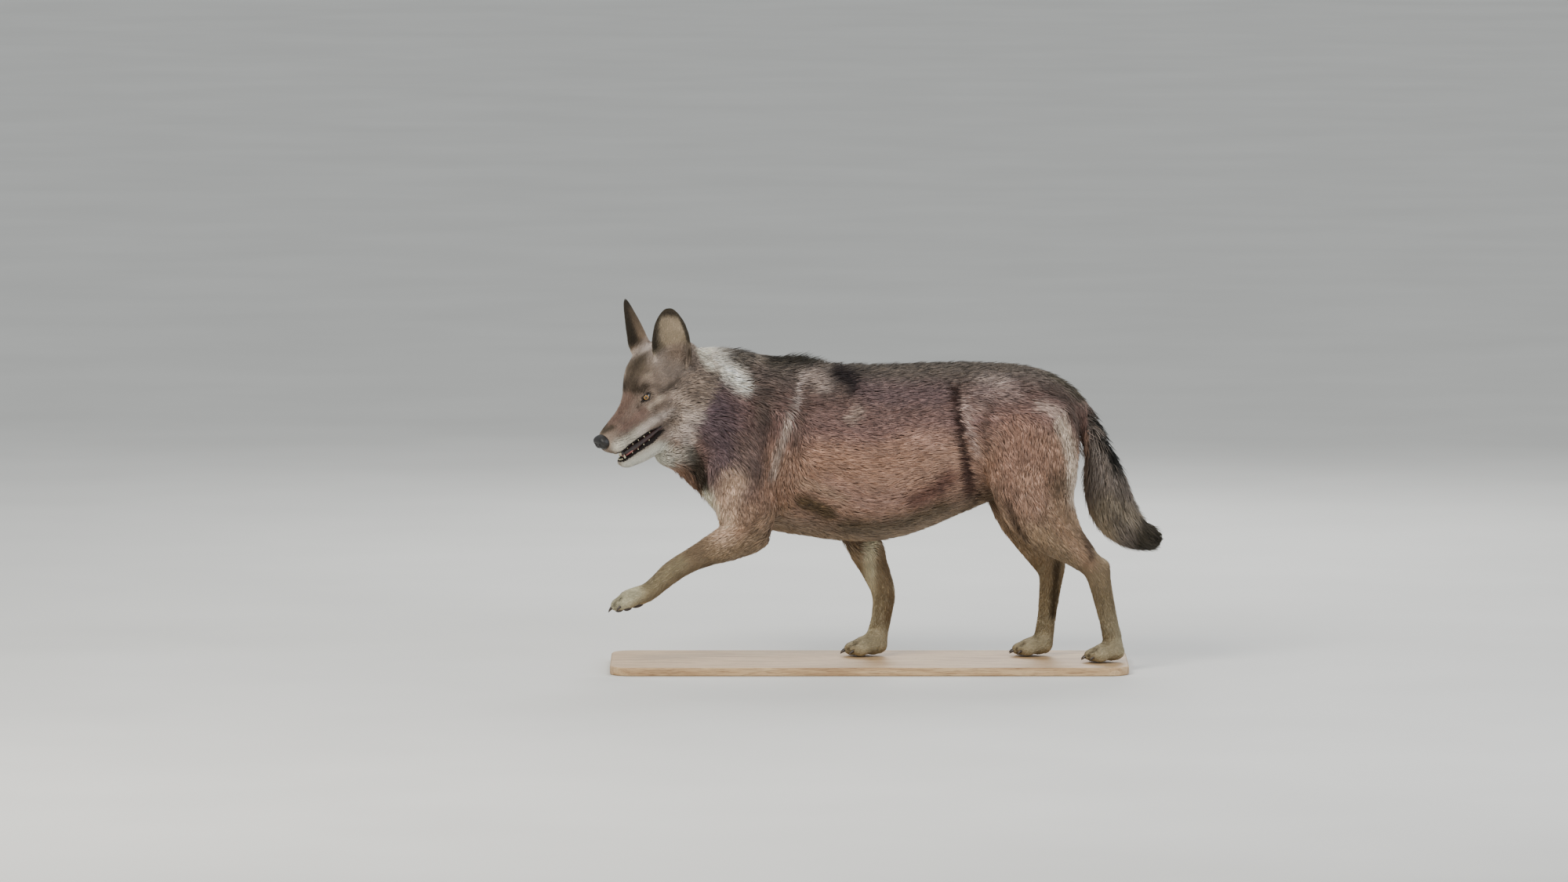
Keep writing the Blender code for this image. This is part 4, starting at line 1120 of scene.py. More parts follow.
# Whiskers are stiff dark hair with a soft shine along their length.
whisker_hair = new_material("whisker, stiff black hair", Base_Color=paint("#1c1713"), Roughness=0.42)[0]
spikes("whiskers", whisker_rows, whisker_hair, "nose_leather", Bend=0.16, Thickness=0.0095, Blunt=1.2,
       Rings=9, Sides=5)

# %% [markdown]
# ## Teeth
# The open mouth shows only the teeth next to the lips. Each root is looked for upwards or
# downwards from the middle of the gap: small ones in front, a long curved one at each corner,
# and pointed cheek teeth behind.

# %% Teeth along the lips
MOUTH_UP = -0.0495  # the middle of the gap between the jaws
CORNER_TOOTH = 8  # longer teeth lean forward
# back, out, length in millimetres: then the same on the other side
UPPER_TEETH = [(21, 1.9, 4.0), (22, 5.2, 4.0), (25, 8.0, 4.4), (32, 10.2, 9.5)]
UPPER_TEETH += [(50, 13.4, 2.8), (64, 15.8, 3.1), (78, 18.0, 3.5), (92, 20.3, 3.9), (106, 22.8, 3.2)]
LOWER_TEETH = [(29, 1.6, 3.4), (30, 4.4, 3.4), (32, 6.6, 3.6), (38, 8.6, 8.0)]
LOWER_TEETH += [(56, 12.4, 2.6), (70, 14.6, 2.9), (85, 16.8, 3.4), (99, 19.2, 3.2)]
tooth_rows = []
for teeth, way in ((UPPER_TEETH, to_top), (LOWER_TEETH, -to_top)):
    for back, out, size in teeth:
        for side in (1, -1):
            start = from_head((back * MM, out * side * MM, MOUTH_UP))
            root = sunk_root(start, way, ROOT_SUNK)
            if root is not None:
                lean = 0.15 if size > CORNER_TOOTH else 0.0
                direction = -way + 0.12 * side * to_side - lean * to_back
                tooth_rows.append((root, direction, to_back, (size + 1.5) * MM))
# Enamel is smooth and glassy over an ivory core.
enamel = new_material(
    "tooth enamel, ivory", Base_Color=paint("#c9bd9c"), Roughness=0.22, IOR=1.6, Coat_Weight=0.5
)[0]
spikes("teeth", tooth_rows, enamel, "eye", Bend=0.10, Thickness=0.26, Blunt=1.9, Rings=9, Sides=10)

# %% [markdown]
# ## Markings
# A wolf's coat is painted by its hair: black-tipped guard hairs over the back, warm tan on the
# flank and thigh, cream at the cheek, throat and the rear of the thigh. The markings are
# written as a list of soft-edged bands, each with a colour, a strength and a width, laid over
# a shading that runs from the back down to the belly. One function reads the list, and both
# the skin and the hair take their colours from it, so that they always agree.
# A few bands paint light and shade rather than colour: shade under the ruff, in the fold of the flank and
# down the rear of the far hind leg, and light on the upper foreleg and the front of the far hind leg.

# %% Colours of the coat
# height of the belly line and the back line along the body: x, belly, back
PROFILE = np.array(
    [(-0.42, 0.33, 0.66), (-0.31, 0.288, 0.650), (-0.19, 0.262, 0.645), (-0.04, 0.248, 0.633),
     (0.06, 0.264, 0.636), (0.15, 0.302, 0.639), (0.225, 0.334, 0.638), (0.30, 0.368, 0.632),
     (0.36, 0.38, 0.615), (0.42, 0.40, 0.57)]
)
# share of the way from belly to back, and the colour there
SHADES = [(0.00, "#75604a"), (0.10, "#8d705a"), (0.24, "#ad876f"), (0.45, "#b28c74"),
          (0.62, "#9c796f"), (0.78, "#85695f"), (0.90, "#7a6b60"), (1.00, "#716759")]
LEG_SHADES = [(0.00, "#b3a684"), (0.05, "#b5a888"), (0.14, "#a18d6b"), (0.24, "#a1886a"),
              (0.34, "#b8987b"), (0.45, "#bd9c84")]  # by height in metres

# colour, strength, half width in mm, line of places (x, z) seen from the side
BODY_MARKS = [
    ("#66545a", 0.90, 64, [(-0.375, 0.545), (-0.345, 0.470), (-0.330, 0.400)]),  # side of the neck
    ("#7c665b", 0.70, 30, [(-0.300, 0.470), (-0.285, 0.400)]),
    ("#ebe0cd", 0.95, 15, [(-0.382, 0.671), (-0.372, 0.650), (-0.355, 0.632)]),  # cream patch
    ("#faf3e4", 1.00, 20, [(-0.355, 0.632), (-0.327, 0.614), (-0.302, 0.592)]),
    ("#574e45", 0.85, 12, [(-0.325, 0.655), (-0.295, 0.645), (-0.275, 0.630)]),
    # painted shadow under the ruff, down the front of the neck
    ("#453c2f", 0.95, 17, [(-0.424, 0.470), (-0.404, 0.420), (-0.382, 0.380)]),  # front of the neck
    ("#faf5dc", 1.00, 15, [(-0.376, 0.362), (-0.358, 0.335), (-0.338, 0.305)]),  # chest strip
    ("#5f5048", 0.90, 23, [(-0.272, 0.610), (-0.258, 0.570), (-0.262, 0.520)]),  # shoulder band
    ("#7c665f", 0.75, 26, [(-0.270, 0.490), (-0.268, 0.430)]),
    ("#2e281c", 1.00, 16, [(-0.245, 0.642), (-0.215, 0.645), (-0.165, 0.637)]),  # crest
    ("#ccb9ad", 0.95, 8.5, [(-0.180, 0.612), (-0.196, 0.560), (-0.206, 0.513)]),  # light stripe
    ("#bfaa9c", 0.90, 9.5, [(-0.206, 0.513), (-0.222, 0.455), (-0.232, 0.405)]),
    ("#66544a", 0.70, 7, [(-0.164, 0.590), (-0.178, 0.530), (-0.192, 0.470)]),
    ("#bba698", 0.85, 20, [(-0.158, 0.605), (-0.138, 0.588)]),
    ("#291e1d", 1.00, 21, [(-0.105, 0.612), (-0.078, 0.600), (-0.070, 0.585)]),  # dark patch
    ("#5b5248", 0.80, 11, [(-0.080, 0.625), (0.020, 0.630), (0.120, 0.632), (0.220, 0.632)]),
    ("#856a69", 0.70, 26, [(-0.040, 0.575), (0.040, 0.570), (0.110, 0.572)]),
    ("#b98e73", 0.75, 42, [(-0.130, 0.440), (-0.040, 0.425), (0.050, 0.450)]),  # flank
    ("#c5ad9a", 0.60, 13, [(-0.075, 0.520), (-0.060, 0.535)]),
    ("#b08977", 0.60, 24, [(-0.120, 0.380), (-0.040, 0.345), (0.020, 0.350)]),
    ("#5a482e", 0.95, 18, [(-0.178, 0.348), (-0.150, 0.335), (-0.122, 0.318)]),  # spot by the elbow
    ("#bd9c81", 0.70, 13, [(-0.175, 0.388), (-0.130, 0.370), (-0.092, 0.352)]),
    ("#58462d", 0.95, 21, [(-0.085, 0.290), (0.000, 0.280), (0.070, 0.303), (0.120, 0.325)]),
    ("#6f4b3e", 0.90, 19, [(0.055, 0.345), (0.105, 0.368), (0.130, 0.395)]),  # low flank
    ("#bd9580", 0.60, 26, [(0.060, 0.480), (0.110, 0.480)]),
    # painted shade in the fold between the flank and the thigh
    ("#371f17", 1.00, 10.5, [(0.142, 0.580), (0.148, 0.530), (0.158, 0.470), (0.172, 0.390)]),  # crease
    ("#4d3329", 0.95, 15, [(0.168, 0.400), (0.180, 0.350)]),
    ("#cfb2a3", 0.75, 9, [(0.164, 0.560), (0.176, 0.500), (0.190, 0.450)]),
    ("#5f473b", 0.80, 7, [(0.216, 0.545), (0.208, 0.500), (0.216, 0.455)]),
    ("#b3a093", 0.80, 14, [(0.200, 0.600), (0.250, 0.592)]),  # light rump
    ("#aa9087", 0.70, 22, [(0.200, 0.575), (0.270, 0.575)]),
    ("#b7998b", 0.65, 13, [(0.176, 0.530), (0.200, 0.548)]),
    ("#b38a75", 0.80, 52, [(0.275, 0.490), (0.290, 0.420), (0.300, 0.360)]),  # thigh
    ("#c79f85", 0.70, 30, [(0.305, 0.400), (0.312, 0.340)]),
    ("#dcc8b3", 0.97, 14, [(0.372, 0.520), (0.390, 0.470), (0.400, 0.410), (0.405, 0.350)]),
    ("#ceb4a4", 0.80, 14, [(0.325, 0.548), (0.362, 0.535)]),
    ("#66544a", 0.90, 11, [(0.338, 0.585), (0.378, 0.560), (0.402, 0.520), (0.416, 0.470)]),
    ("#57503f", 0.85, 10, [(0.345, 0.612), (0.385, 0.592), (0.412, 0.565)]),
    ("#594535", 0.80, 9, [(0.262, 0.345), (0.280, 0.300), (0.300, 0.268)]),  # front of the thigh
    ("#b49072", 0.70, 18, [(0.360, 0.310), (0.405, 0.252), (0.435, 0.215)]),
    ("#66503e", 0.80, 8, [(0.420, 0.290), (0.428, 0.258), (0.440, 0.225)]),
    ("#c2ab8a", 0.80, 10, [(0.452, 0.240), (0.470, 0.222)]),
]
LEFT_LEG_MARKS = [  # on the near side only, since the two sides stand differently
    # painted light: the upper foreleg is lightened to lift the shade that falls on it
    ("#e6c2a4", 0.88, 30, [(-0.320, 0.390), (-0.335, 0.330), (-0.335, 0.285)]),
    ("#a3856a", 0.70, 15, [(-0.215, 0.330), (-0.255, 0.300)]),
    ("#b9957a", 0.75, 18, [(-0.285, 0.335), (-0.300, 0.285)]),
    ("#6b543c", 0.80, 9, [(-0.265, 0.235), (-0.330, 0.216), (-0.380, 0.200)]),
    ("#b6a681", 0.80, 18, [(-0.430, 0.215), (-0.490, 0.170), (-0.530, 0.145)]),
    ("#d6cfac", 0.90, 20, [(-0.530, 0.155), (-0.570, 0.125)]),
]
RIGHT_LEG_MARKS = [
    ("#efe5c0", 0.90, 14, [(-0.030, 0.250), (-0.030, 0.150), (-0.035, 0.060)]),
    ("#8c7659", 0.70, 9, [(-0.005, 0.230), (0.018, 0.150), (0.010, 0.080)]),
    ("#e0dabd", 0.90, 6.5, [(0.022, 0.205), (0.030, 0.140)]),
    # far hind leg: a dark line down its rear is painted shade, a pale line down its front painted light
    ("#4c3d26", 0.90, 9, [(0.372, 0.200), (0.366, 0.140), (0.362, 0.090)]),
    ("#b8a889", 0.70, 10, [(0.335, 0.190), (0.325, 0.110), (0.318, 0.050)]),
]
# colour, strength, half width in mm, line of places on the head (back, out, up)
HEAD_MARKS = [
    ("#8c6f60", 0.90, 26, [(0.055, 0, 0.022), (0.085, 0, 0.031), (0.110, 0, 0.043)]),  # bridge
    ("#927364", 0.80, 13, [(0.060, 0.025, 0.004), (0.085, 0.030, 0.006), (0.108, 0.035, 0.010)]),
    ("#4f4434", 0.90, 9, [(0.026, 0.000, 0.013), (0.034, 0.006, 0.016), (0.040, 0.012, 0.016)]),
    ("#e6ddc9", 1.00, 14, [(0.028, 0.026, -0.021), (0.060, 0.030, -0.025), (0.085, 0.034, -0.024)]),
    ("#decfc1", 1.00, 11, [(0.085, 0.035, -0.024), (0.112, 0.042, -0.018), (0.138, 0.052, -0.016)]),
    ("#d6c3b4", 0.90, 17, [(0.138, 0.056, -0.022), (0.160, 0.068, -0.030), (0.185, 0.082, -0.045)]),
    ("#473a2c", 0.85, 16, [(0.126, 0, 0.062), (0.127, 0.014, 0.058)]),  # across the stop
    ("#382d20", 0.88, 10, [(0.124, 0.019, 0.052), (0.126, 0.030, 0.050), (0.136, 0.037, 0.054)]),
    ("#493c2f", 0.85, 7, [(0.136, 0.037, 0.054), (0.148, 0.046, 0.050), (0.156, 0.052, 0.044)]),
    ("#3f3427", 0.85, 6, [(0.106, 0.034, 0.026), (0.118, 0.042, 0.030)]),  # inner corner
    ("#65564a", 0.75, 11, [(0.146, 0.004, 0.078), (0.150, 0.022, 0.077)]),
    ("#cdb9a3", 0.85, 6.5, [(0.148, 0.034, 0.068), (0.160, 0.042, 0.070)]),  # pale spot above
    ("#cbb8a3", 0.80, 7, [(0.122, 0.045, 0.014), (0.140, 0.054, 0.018), (0.150, 0.058, 0.024)]),
    ("#54473a", 0.85, 6, [(0.150, 0.055, 0.032), (0.172, 0.067, 0.036), (0.190, 0.073, 0.036)]),
    ("#5f4f41", 0.80, 7, [(0.130, 0.051, 0.010), (0.145, 0.060, 0.009)]),
    ("#cbb5a3", 0.80, 12, [(0.170, 0.072, 0.014), (0.176, 0.075, -0.004), (0.178, 0.080, -0.014)]),
    ("#655548", 0.80, 9, [(0.198, 0.086, 0.002), (0.206, 0.090, -0.006)]),
    ("#83735f", 0.80, 26, [(0.163, 0.020, 0.086), (0.182, 0.030, 0.092)]),  # forehead
    ("#56493a", 0.80, 24, [(0.130, 0, 0.066), (0.145, 0, 0.080), (0.168, 0, 0.092)]),  # dark front
    ("#5c4e3d", 0.70, 7, [(0.140, 0, 0.077), (0.165, 0, 0.090), (0.190, 0, 0.096)]),
    ("#cfbdaf", 0.85, 22, [(0.192, 0.040, 0.092), (0.215, 0.020, 0.096), (0.235, 0.015, 0.095)]),  # crown
    ("#96877a", 0.75, 20, [(0.185, 0.057, 0.064), (0.210, 0.072, 0.056)]),
    ("#4a3d2c", 0.90, 11, [(0.232, 0.104, 0.084), (0.236, 0.096, 0.068)]),  # rear of the ear's root
    ("#f0e9d3", 1.00, 16, [(0.300, 0.020, 0.045), (0.280, 0.062, 0.046), (0.270, 0.086, 0.030)]),
    ("#efe6d2", 0.95, 14, [(0.270, 0.086, 0.030), (0.286, 0.106, 0.000)]),
    ("#d9d6c6", 1.00, 15, [(0.028, 0.014, -0.074), (0.070, 0.020, -0.078), (0.110, 0.028, -0.080)]),
    ("#e0dccb", 1.00, 24, [(0.060, 0, -0.095), (0.110, 0.010, -0.105), (0.150, 0.030, -0.115)]),
    ("#dccabd", 0.90, 17, [(0.140, 0.050, -0.064), (0.162, 0.068, -0.062), (0.150, 0.062, -0.085)]),
]
FACE_BASE, INNER_EAR, OUTER_EAR, EAR_BACK, EAR_RIM = "#988575", "#ab9a80", "#85705a", "#4a3e2e", "#2a2317"


def band_share(places, line, reach):
    """1 on the line, fading to 0 around its half width."""
    nearest = np.full(len(places), 1e9)
    for start, end in zip(line, line[1:]):
        along = end - start
        t = np.clip((places - start) @ along / (along @ along), 0, 1)
        nearest = np.minimum(nearest, np.linalg.norm(places - start - t[:, None] * along, axis=1))
    return np.exp(-((nearest / reach) ** 3))


def by_steps(values, steps):
    """Colours blended between steps of (value, hex colour)."""
    levels = [level for level, _ in steps]
    shades = np.array([linear(shade) for _, shade in steps])
    return np.stack([np.interp(values, levels, shades[:, k]) for k in range(3)], axis=1)


def lay(colours, hex_colour, share):
    colours += (linear(hex_colour) - colours) * np.asarray(share)[:, None]


# %% [markdown]
# ## Markings of the ears, the face and the tail
# An ear is a cupped leaf, so its own axes say where on it a point is: how high, how near the
# rim, and on which side. That gives a wolf's ear its dark rim, dark back and pale inside.

# %% Shares by place
EAR_ROOT, EAR_HEIGHT, EAR_HALF = np.array((0.215, 0.056, 0.062)), 0.126, 0.042
EAR_LEAN = np.array((0.22, 0.24, 1)) / np.linalg.norm((0.22, 0.24, 1))
EAR_OPENING = np.array((-0.784, 0.612, 0.10))  # the way the inner side faces
EAR_EDGE = np.cross(EAR_LEAN, EAR_OPENING)
EAR_PROFILE = [(-0.20, 0.50), (0, 0.72), (0.16, 0.92), (0.32, 1), (0.50, 0.95), (0.70, 0.80),
               (0.85, 0.58), (0.95, 0.36), (1, 0.14)]  # share of the height, share of the width
EAR_BOX = (0.275, 0.012)  # it lies before this far back, and further out than this
EAR_FEET = (0.092, 0.106)  # heights on the head between which it leaves the crown


def ear_shares(points, normals):
    """How far a point is on an ear, how high, on the inner side, and near the rim."""
    places, ways = to_head(points), normals @ HEAD_AXES.T / HEAD_SCALE
    fold = np.ones((len(points), 3))
    fold[:, 1] = np.where(places[:, 1] < 0, -1, 1)
    places, ways = places * fold, ways * fold
    up = (places - EAR_ROOT) @ EAR_LEAN / EAR_HEIGHT
    aside = np.abs((places - EAR_ROOT) @ EAR_EDGE) / EAR_HALF
    aside /= np.interp(up, *zip(*EAR_PROFILE))
    on_ear = smooth_step(places[:, 2], *EAR_FEET) * (places[:, 0] < EAR_BOX[0])
    on_ear *= places[:, 1] > EAR_BOX[1]
    inner = smooth_step(ways @ EAR_OPENING, 0.0, 0.5)
    rim = np.maximum(smooth_step(aside, 0.58, 0.84), smooth_step(up, 0.76, 0.90))
    return on_ear, np.clip(up, 0, 1), inner, rim * smooth_step(up, 0.18, 0.32)


RUFF_ENDS, RUFF_SLANT, RUFF_LEVEL = (0.272, 0.292), 1.6, 0.010  # where the head ends
JAW_END, JAW_LOW, JAW_HALF = 0.135, -0.125, 0.055


def head_share(head):
    """1 on the head, 0 on the neck and the body: the ruff slants down and forward."""
    reach = head[:, 0] + RUFF_SLANT * np.clip(RUFF_LEVEL - head[:, 2], 0, None)
    jaw = (head[:, 0] < JAW_END) & (head[:, 2] > JAW_LOW) & (np.abs(head[:, 1]) < JAW_HALF)
    return np.maximum(1 - smooth_step(reach, *RUFF_ENDS), jaw)


TOE_GAPS, TOE_GAP_WIDTH = np.array((-0.0205, 0, 0.0205)), 2.4 * MM
PAW_HALF = 0.05


def toe_gap_share(points):
    """1 in the gaps between toes, where painted shade goes."""
    share = np.zeros(len(points))
    for paw in PAWS:
        ahead, aside, up = to_paw(points, paw).T
        apart = np.abs(aside[:, None] - TOE_GAPS).min(1)
        here = smooth_step(ahead, 0.030, 0.046) * (ahead < 0.10) * (np.abs(up - 0.02) < 0.03)
        here = here * np.exp(-((apart / TOE_GAP_WIDTH) ** 2)) * (np.abs(aside) < PAW_HALF)
        share = np.maximum(share, here)
    return share


TAIL_START, TAIL_END_UP, TAIL_TOP_UP = (0.425, 0.445), (0.22, 0.24), 0.56
TAIL_HALF, BEHIND_HOCKS = 0.056, 0.50  # ahead of the hocks' rear only the middle is tail


def tail_share(body):
    share = smooth_step(body[:, 0], *TAIL_START) * smooth_step(body[:, 2], *TAIL_END_UP)
    return share * np.maximum(np.abs(body[:, 1]) < TAIL_HALF, body[:, 0] > BEHIND_HOCKS)


MOUTH_MIDDLE, MOUTH_NARROWS = -0.0475, 0.105  # height of the gap, and how far back it narrows
# where it starts and ends, half its height before and at the end, and its middle's height
DARK_LIPS = (0.012, 0.135, 0.0145, 0.006, -0.0475)
BARE_LIPS = (-0.010, 0.132, 0.014, 0.004, -0.048)


def in_mouth(head, start, end, wide, narrow, middle):
    """True between the lips, in a gap that narrows towards the corner of the mouth."""
    half = np.interp(head[:, 0], (MOUTH_NARROWS, end), (wide, narrow))
    return (head[:, 0] < end) & (head[:, 0] > start) & (np.abs(head[:, 2] - middle) < half)


def facing_gap(head, normals):
    """How squarely a surface in the mouth looks at the other jaw."""
    way_up = normals @ (HEAD_AXES[2] / HEAD_SCALE)
    return np.where(head[:, 2] > MOUTH_MIDDLE, -way_up, way_up)


def outside_lids(points, centre, side):
    """Distance from the middle of the eye, and distance out from the edge of its opening."""
    away, along, across = seen_from_eye(points, centre, side)
    upper, lower = lid_heights(along)
    outside = np.maximum(np.maximum(across - upper, lower - across), np.abs(along) - CORNER)
    return away, outside * LID_RADIUS


# %% [markdown]
# ## Painting in layers
# The colours are laid like thin paint: first the shading of the body and the legs, then the
# bands, then the tail, the head and the ears, and last the dark bare skin of lips and lids.
# Each layer is a small function that changes the colours where it has a share.

# %% Layers of colour
UNDERSIDE, TOE_GAP_PAINTED_SHADE = "#b09c84", "#43372a"
TAIL_BASE, TAIL_STREAK, TAIL_TIP = "#83766b", "#13130c", "#3c3527"
TAIL_MARKS = [
    ("#94866f", 0.70, 24, [(0.470, 0.345), (0.520, 0.315)]),
    ("#ac9a7e", 0.80, 22, [(0.450, 0.320), (0.475, 0.275)]),
]
LIP_BLACK, LID_BLACK = "#1d1613", "#191411"
THIGH_END, HOCK_END, LEG_TOP, BELLY_LOW = 0.43, 0.52, 0.24, 0.2


def share_of_height(body):
    """0 on the line of the belly and 1 on the line of the back."""
    belly, back = (np.interp(body[:, 0], PROFILE[:, 0], PROFILE[:, k]) for k in (1, 2))
    return (body[:, 2] - belly) / (back - belly), belly


def mark(colours, places, marks, chosen=1.0):
    """Lays bands over the colours."""
    for shade, strength, reach, line in marks:
        lay(colours, shade, band_share(places, np.array(line), reach * MM) * strength * chosen)


def body_colours(body, normals):
    height, belly = share_of_height(body)
    colours = by_steps(height, SHADES)
    leg = smooth_step(belly - 0.02 - body[:, 2], -0.03, 0.03) * (body[:, 0] < THIGH_END)
    leg = np.maximum(leg, (body[:, 2] < LEG_TOP) * (body[:, 0] < HOCK_END))
    colours += (by_steps(body[:, 2], LEG_SHADES) - colours) * leg[:, None]
    seen = body[:, [0, 2]]
    mark(colours, seen, BODY_MARKS)
    mark(colours, seen, LEFT_LEG_MARKS, body[:, 1] < -0.02)
    mark(colours, seen, RIGHT_LEG_MARKS, body[:, 1] > 0.02)
    under = smooth_step(-normals[:, 2], 0.45, 0.95) * (body[:, 2] > BELLY_LOW) * (body[:, 0] < 0.4)
    lay(colours, UNDERSIDE, 0.6 * under * (body[:, 0] > -0.36))
    return colours


def paint_tail(colours, body, normals):
    """Grey, with a black streak down its upper side and a dark tip."""
    tail = tail_share(body)
    lay(colours, TAIL_BASE, tail * (body[:, 2] < TAIL_TOP_UP))
    outer = smooth_step(normals[:, 0] * 0.85 + normals[:, 2] * 0.5, 0.35, 0.8)
    lay(colours, TAIL_STREAK, tail * outer * smooth_step(body[:, 2], 0.36, 0.43))
    mark(colours, body[:, [0, 2]], TAIL_MARKS, tail)
    lay(colours, TAIL_TIP, 0.95 * tail * smooth_step(body[:, 0] - 0.5 * (body[:, 2] - 0.24), 0.492, 0.520))


def paint_head(colours, head):
    lay(colours, FACE_BASE, head_share(head))
    folded = np.column_stack((head[:, 0], np.abs(head[:, 1]), head[:, 2]))
    mark(colours, folded, HEAD_MARKS, head[:, 0] < 0.32)


def paint_ears(colours, points, normals):
    on_ear, up, inner, rim = ear_shares(points, normals)
    lay(colours, OUTER_EAR, on_ear * (1 - inner))
    lay(colours, EAR_BACK, 0.85 * on_ear * (1 - inner) * smooth_step(up, 0.30, 0.75))
    lay(colours, INNER_EAR, on_ear * inner * 0.95)
    lay(colours, EAR_RIM, 0.95 * on_ear * rim)


def paint_bare_skin(colours, points, head, normals):
    gap = in_mouth(head, *DARK_LIPS)
    lay(colours, LIP_BLACK, gap * smooth_step(facing_gap(head, normals), 0.15, 0.5))
    for centre, side in EYES.values():
        away, outside = outside_lids(points, centre, side)
        near_lid = 1 - smooth_step(outside, 0.8 * MM, 2.8 * MM)
        lay(colours, LID_BLACK, near_lid * (away < 20 * MM))


def coat_colours(points, normals):
    """Linear colours of the coat at places on the skin."""
    body, head = points - BODY_ORIGIN, to_head(points)
    colours = body_colours(body, normals)
    # painted shade in the gaps between the toes
    lay(colours, TOE_GAP_PAINTED_SHADE, 0.7 * toe_gap_share(points))
    paint_tail(colours, body, normals)
    paint_head(colours, head)
    paint_ears(colours, points, normals)
    paint_bare_skin(colours, points, head, normals)
    return colours


skin_normals = normals_of(skin.data)
skin_colours = coat_colours(points_of(skin.data), skin_normals)
opaque = np.ones(len(skin_colours))
set_attribute(skin.data, "coat_colour", "FLOAT_COLOR", np.column_stack((skin_colours, opaque)))

# Tanned skin with its short underfur: matt, with a fine nap that the light rakes.
skin_finish, tree, shader = new_material(
    "tanned skin with underfur", Roughness=0.85, Specular_IOR_Level=0.25
)
nap = noise(tree, object_coordinates(tree), 420.0, 3.0)
# the coat's colour scaled down to 0.45 to 0.85 by the mottle: painted shade at the bottom of the coat
shade = add(tree, "ShaderNodeMapRange", {"Value": nap, "To Min": 0.45, "To Max": 0.85}).outputs["Result"]
painted = {0: stored(tree, "coat_colour", "Color"), "Scale": shade}
mixed = add(tree, "ShaderNodeVectorMath", painted, operation="SCALE").outputs["Vector"]
tree.links.new(mixed, shader.inputs["Base Color"])
bump(tree, shader, nap, 0.6 * MM, 0.6)
finish_piece(skin, skin_finish, "coat", *FLESH)

# %% [markdown]
# ## An unwrap of the skin
# Each tuft needs its own small patch on a picture, placed where its root is on a flattened
# skin. A light copy of the skin is flattened by Blender's own unwrap, and every root finds its
# place on it.

# %% Flat places of the skin
CAGE_FACES = 0.05  # share of the skin's faces
cage = add_object("cage", skin.data.copy())
fewer = cage.modifiers.new("Few faces", "DECIMATE")
fewer.ratio = CAGE_FACES
apply_modifiers(cage)
bpy.context.view_layer.objects.active = cage
cage.select_set(True)
bpy.ops.object.mode_set(mode="EDIT")
bpy.ops.mesh.select_all(action="SELECT")
bpy.ops.uv.smart_project(angle_limit=math.radians(66), island_margin=0.002)
bpy.ops.object.mode_set(mode="OBJECT")
cage_flat = np.empty(len(cage.data.loops) * 2)
cage.data.uv_layers.active.data.foreach_get("uv", cage_flat)
cage_flat = cage_flat.reshape(-1, 3, 2)
cage_corners = np.array([[cage.data.vertices[i].co for i in f.vertices] for f in cage.data.polygons])
cage_tree = tree_of(cage.data)
bpy.data.objects.remove(cage)


def flat_places(points):
    """Where points of the skin lie on the unwrap."""
    faces = np.array([cage_tree.find_nearest(Vector(p))[2] for p in points])
    corners = cage_corners[faces]
    a, b, c = corners[:, 0], corners[:, 1] - corners[:, 0], corners[:, 2] - corners[:, 0]
    p = points - a
    bb, cc, bc = (np.sum(x * y, axis=1) for x, y in ((b, b), (c, c), (b, c)))
    pb, pc = np.sum(p * b, axis=1), np.sum(p * c, axis=1)
    scale = bb * cc - bc**2 + 1e-18
    v, w = (cc * pb - bc * pc) / scale, (bb * pc - bc * pb) / scale
    weights = np.clip(np.column_stack((1 - v - w, v, w)), 0, 1)
    weights /= weights.sum(1, keepdims=True)
    return np.sum(cage_flat[faces] * weights[:, :, None], axis=1)


print("unwrap from", len(cage_corners), "faces")

# %% [markdown]
# ## Where the tufts stand
# Hair is thickest to the eye where its roots are spread evenly, never in rows. Many random
# places are tried on the skin, and only one is kept in each small cell of space, with cells as
# wide as the spacing that the guide lines ask for: under two millimetres on the face, three
# on the flank. Bare places get none: eyes and lid edges, the nose, the inside of the mouth and
# the soles.

# %% Roots on the skin
chance = np.random.default_rng(7)
corner_ids = np.array([f.vertices[:] for f in skin.data.polygons])
skin_points = points_of(skin.data)
corners = skin_points[corner_ids]
areas = np.linalg.norm(np.cross(corners[:, 1] - corners[:, 0], corners[:, 2] - corners[:, 0]), axis=1) / 2
skin_ways, skin_values = coat_at(skin_points, skin_normals)
DEPTH, LENGTH, WIDTH, SPACING = range(4)
TRIES = 3.2  # places tried for each cell
CELL_SIZES = 3  # between one width of cell and its double
# places without hair
PAD_EDGE = 1.06  # share of the reach of the nose pad
LOOKS_IN = 0.45  # how squarely a surface of the mouth has to look at the other jaw
BARE_LIDS, EYE_SOCKET = 1.3 * MM, 19 * MM
SOLE_UP, SOLE_MIDDLE, SOLE_REACH = 0.010, 0.03, 0.07


def scatter(density):
    """Random places on the faces: their faces, points, and shares of the three corners."""
    counts = chance.poisson(areas * density)
    faces = np.repeat(np.arange(len(areas)), counts)
    u, v = chance.random(len(faces)), chance.random(len(faces))
    over = u + v > 1
    u[over], v[over] = 1 - u[over], 1 - v[over]
    shares = np.column_stack((1 - u - v, u, v))
    return faces, np.sum(corners[faces] * shares[:, :, None], axis=1), shares


def carried(values, faces, shares):
    """Values of the skin's vertices at places on its faces."""
    return np.sum(values[corner_ids[faces]] * shares[:, :, None], axis=1)


